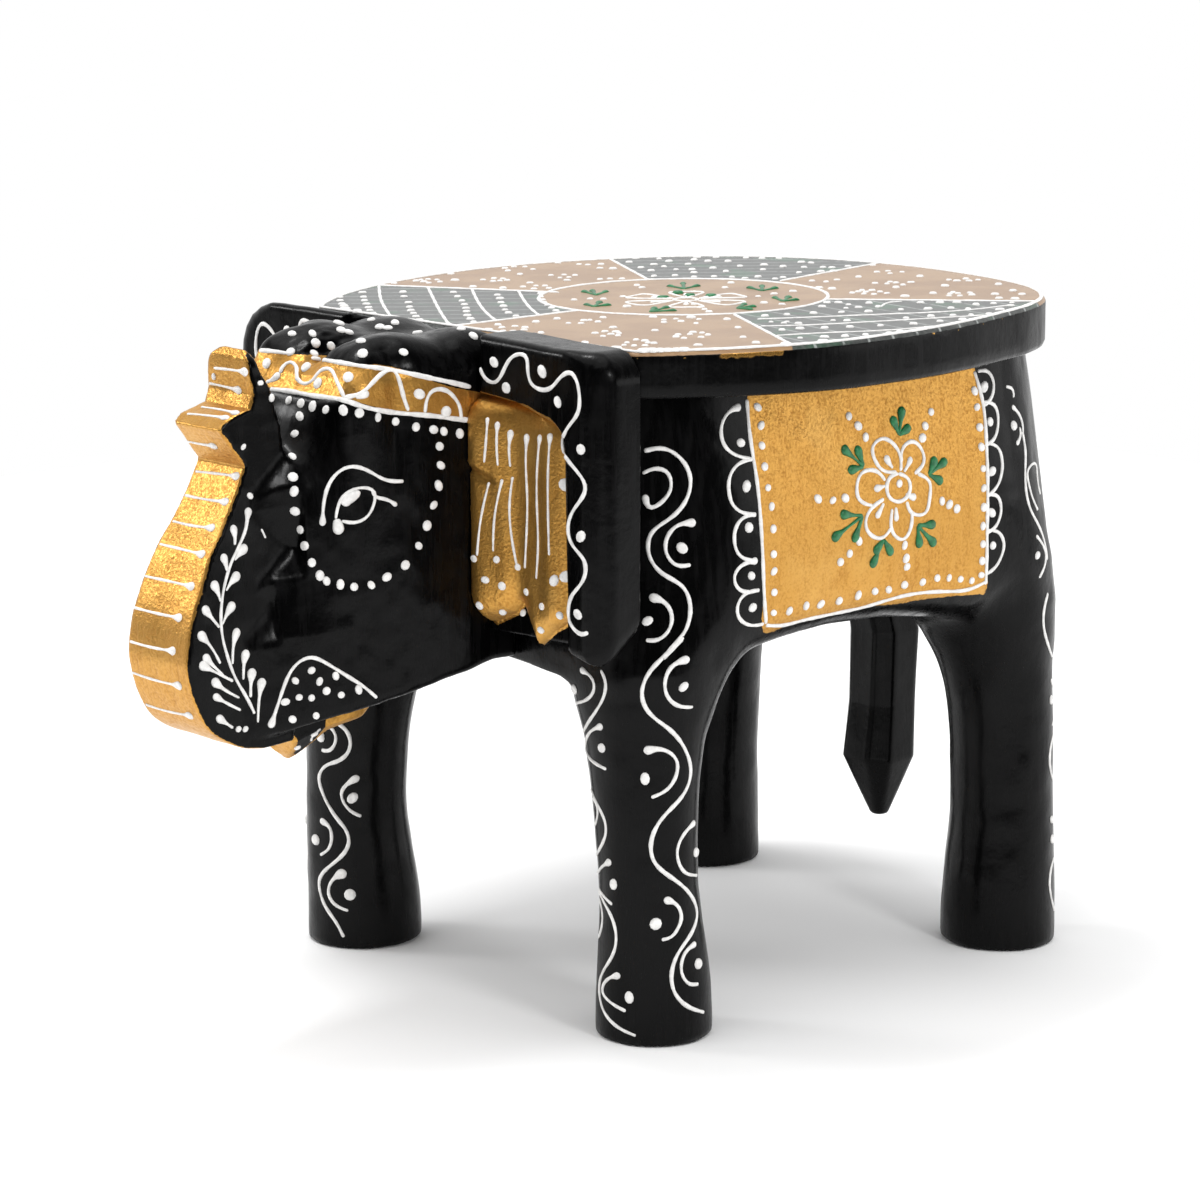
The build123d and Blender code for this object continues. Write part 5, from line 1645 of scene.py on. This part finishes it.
# lines of the seat: rim, disc, the bounds of the sectors, and a flower of six petals
seatLineWork = dict(inset=1.5, ringWidth=1.15, boundWidth=1.05, slices=240)
seatFlower = dict(
    middle=(686, 299.8), ring=3.4, ringWidth=0.95, petals=6, reach=17.5, half=5.6, petalWidth=0.85,
    first=12, uneven=6, vein=(11.5, 5.0), veinWidth=0.9, veinHead=2.0,
)


def seatPath(pairs):
    return np.array([(x, y, seatTop(x, y)) for x, y in pairs])


def circle(slices, radius=1.0):
    turn = np.linspace(0, 2 * np.pi, slices)
    return np.stack([radius * np.cos(turn), radius * np.sin(turn)], 1)


onSeat = carriers["seat"]
seatLines = relief("seatLines")
s = seatLineWork
turn = np.linspace(0, 2 * np.pi, s["slices"])
rim = circle(s["slices"]) * (seatRadius(turn % (2 * np.pi)) - s["inset"])[:, None]
seatLines.strand(onSeat, seatPath(rim), s["ringWidth"], 0)
disc = seatShape["middle"] + circle(s["slices"], seatShape["disc"])
seatLines.strand(onSeat, seatPath(disc), s["ringWidth"], 0)
for outer, inner in sectorLines:
    reach = seatRadius(np.array([math.atan2(outer[1], outer[0])]))[0] - s["inset"]
    path = np.linspace(np.array(outer) * (reach / np.hypot(*outer)), inner, 30)
    seatLines.strand(onSeat, seatPath(path), s["boundWidth"], 0)

flower = relief("seatFlowerLines")
s = seatFlower
middle = onSeat.cast([s["middle"]])[0][:2]
flower.strand(onSeat, seatPath(middle + circle(40, s["ring"])), s["ringWidth"], 0)
# a petal runs out to its tip at share 1 and back again
share = np.linspace(0.04, 1.96, 40)
bulge = np.sin(share / 2 * np.pi) ** 0.7 * np.sign(1 - share)
bulge = bulge * np.abs(np.sin(share * np.pi)) ** 0.35 * s["half"]
out = s["ring"] + (s["reach"] - s["ring"]) * (1 - np.abs(1 - share) ** 1.8)
vein = np.linspace(*s["vein"], 8)
for k in range(s["petals"]):
    lead = math.radians(s["first"] + 360 / s["petals"] * k + hand.random() * s["uneven"])
    forward = np.array([math.cos(lead), math.sin(lead)])
    across = np.array([-forward[1], forward[0]])
    path = middle + out[:, None] * forward + bulge[:, None] * across
    flower.strand(onSeat, seatPath(path), s["petalWidth"], 0)
    flower.strand(onSeat, seatPath(middle + vein[:, None] * forward), s["veinWidth"], s["veinHead"])

greenPieces = ("saddleSprigsLeft", "saddleSprigsRight", "seatSprigs")
for name, one in pieces.items():
    if name in greenPieces:
        one.make(name, greenPaint, "green_relief")
    else:
        one.make(name, whitePaint, "white_relief")
    print("cone work laid:", name, one.count, "points")


# studio: a pale floor, four panels, a soft sun and a plain surround

studioLook = dict(
    floorColour=(0.93, 0.93, 0.93), floorReach=0.8, sun=1.1, sunSpread=64, sunTurn=(8, -6, 0),
    dim=0.04, bright=1.0, fill=0.82,
    # each panel's place, the point it aims at, its size and its power
    panels=dict(
        topPanel=((-0.25, -0.05, 1.4), (0, 0, 0.1), (0.28, 0.24), 5.5),
        frontPanel=((-1.2, -0.9, 0.75), (0, -0.1, 0.13), (0.36, 0.28), 5.5),
        sidePanel=((1.2, -0.15, 0.95), (0, 0, 0.12), (0.22, 0.22), 4.5),
        rearPanel=((1.15, 1.05, 0.3), (0, 0, 0.13), (1.3, 0.5), 4.2),
    ),
)

reach = studioLook["floorReach"]
floorData = bpy.data.meshes.new("studioFloor")
floorData.from_pydata([(-reach, -reach, 0), (reach, -reach, 0), (reach, reach, 0), (-reach, reach, 0)], [],
                      [(0, 1, 2, 3)])
floor = bpy.data.objects.new("studioFloor", floorData)
bpy.context.scene.collection.objects.link(floor)
floorSockets = {"Base Color": studioLook["floorColour"], "Roughness": 0.7, "Specular IOR Level": 0.1}
floorData.materials.append(Finish("floorPaint", **floorSockets).material)

for name, (place, aim, size, power) in studioLook["panels"].items():
    panel = bpy.data.lights.new(name, "AREA")
    panel.shape = "RECTANGLE"
    panel.size, panel.size_y = size
    panel.energy = power
    light = bpy.data.objects.new(name, panel)
    light.location = place
    light.rotation_euler = (Vector(aim) - Vector(place)).to_track_quat("-Z", "Y").to_euler()
    bpy.context.scene.collection.objects.link(light)

sun = bpy.data.lights.new("softSun", "SUN")
sun.energy = studioLook["sun"]
sun.angle = math.radians(studioLook["sunSpread"])
sunLight = bpy.data.objects.new("softSun", sun)
sunLight.rotation_euler = np.radians(studioLook["sunTurn"])
bpy.context.scene.collection.objects.link(sunLight)

# the surround: white behind the stool; what shines in the paint runs from dim to bright, the rest is even
world = bpy.data.worlds.new("studio")
bpy.context.scene.world = world
world.use_nodes = True
background = world.node_tree.nodes["Background"]
sky = Nodes(world.node_tree)
skyX, skyY = sky.axes(sky.add("ShaderNodeTexCoord", out="Generated"))[:2]
behind = (skyY * 0.66 - skyX * 0.73).step(-0.1, 0.75)
shining = sky.blend(behind, (studioLook["dim"],) * 3, (studioLook["bright"],) * 3)
glossy = sky.add("ShaderNodeLightPath", out="Is Glossy Ray")
around = sky.blend(glossy, (studioLook["fill"],) * 3, shining)
seen = sky.add("ShaderNodeLightPath", out="Is Camera Ray")
sky.plug(background.inputs["Color"], sky.blend(seen, around, (1.0, 1.0, 1.0)))
print("studio lit")

# the pegs inside the joints
pegLook = dict(
    dark=(0.5, 0.33, 0.18), pale=(0.66, 0.48, 0.29), shine=0.6, grain=1.2, stretch=(1.0, 0.25, 1.0),
    depth=0.05,
)
pegWood = Finish("pegWood", Roughness=pegLook["shine"])
grain = pegWood.noise(pegLook["grain"], 3.0, pegLook["stretch"])
pegWood.paint("Base Color", pegWood.blend(grain, pegLook["dark"], pegLook["pale"]))
pegWood.paint("Normal", pegWood.bump(grain, pegLook["depth"]))
for name in ("seat_dowels", "neck_dowels", "trunk_dowels", "ear_dowels"):
    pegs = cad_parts[name]
    pegs.data.materials.clear()
    pegs.data.materials.append(pegWood.material)
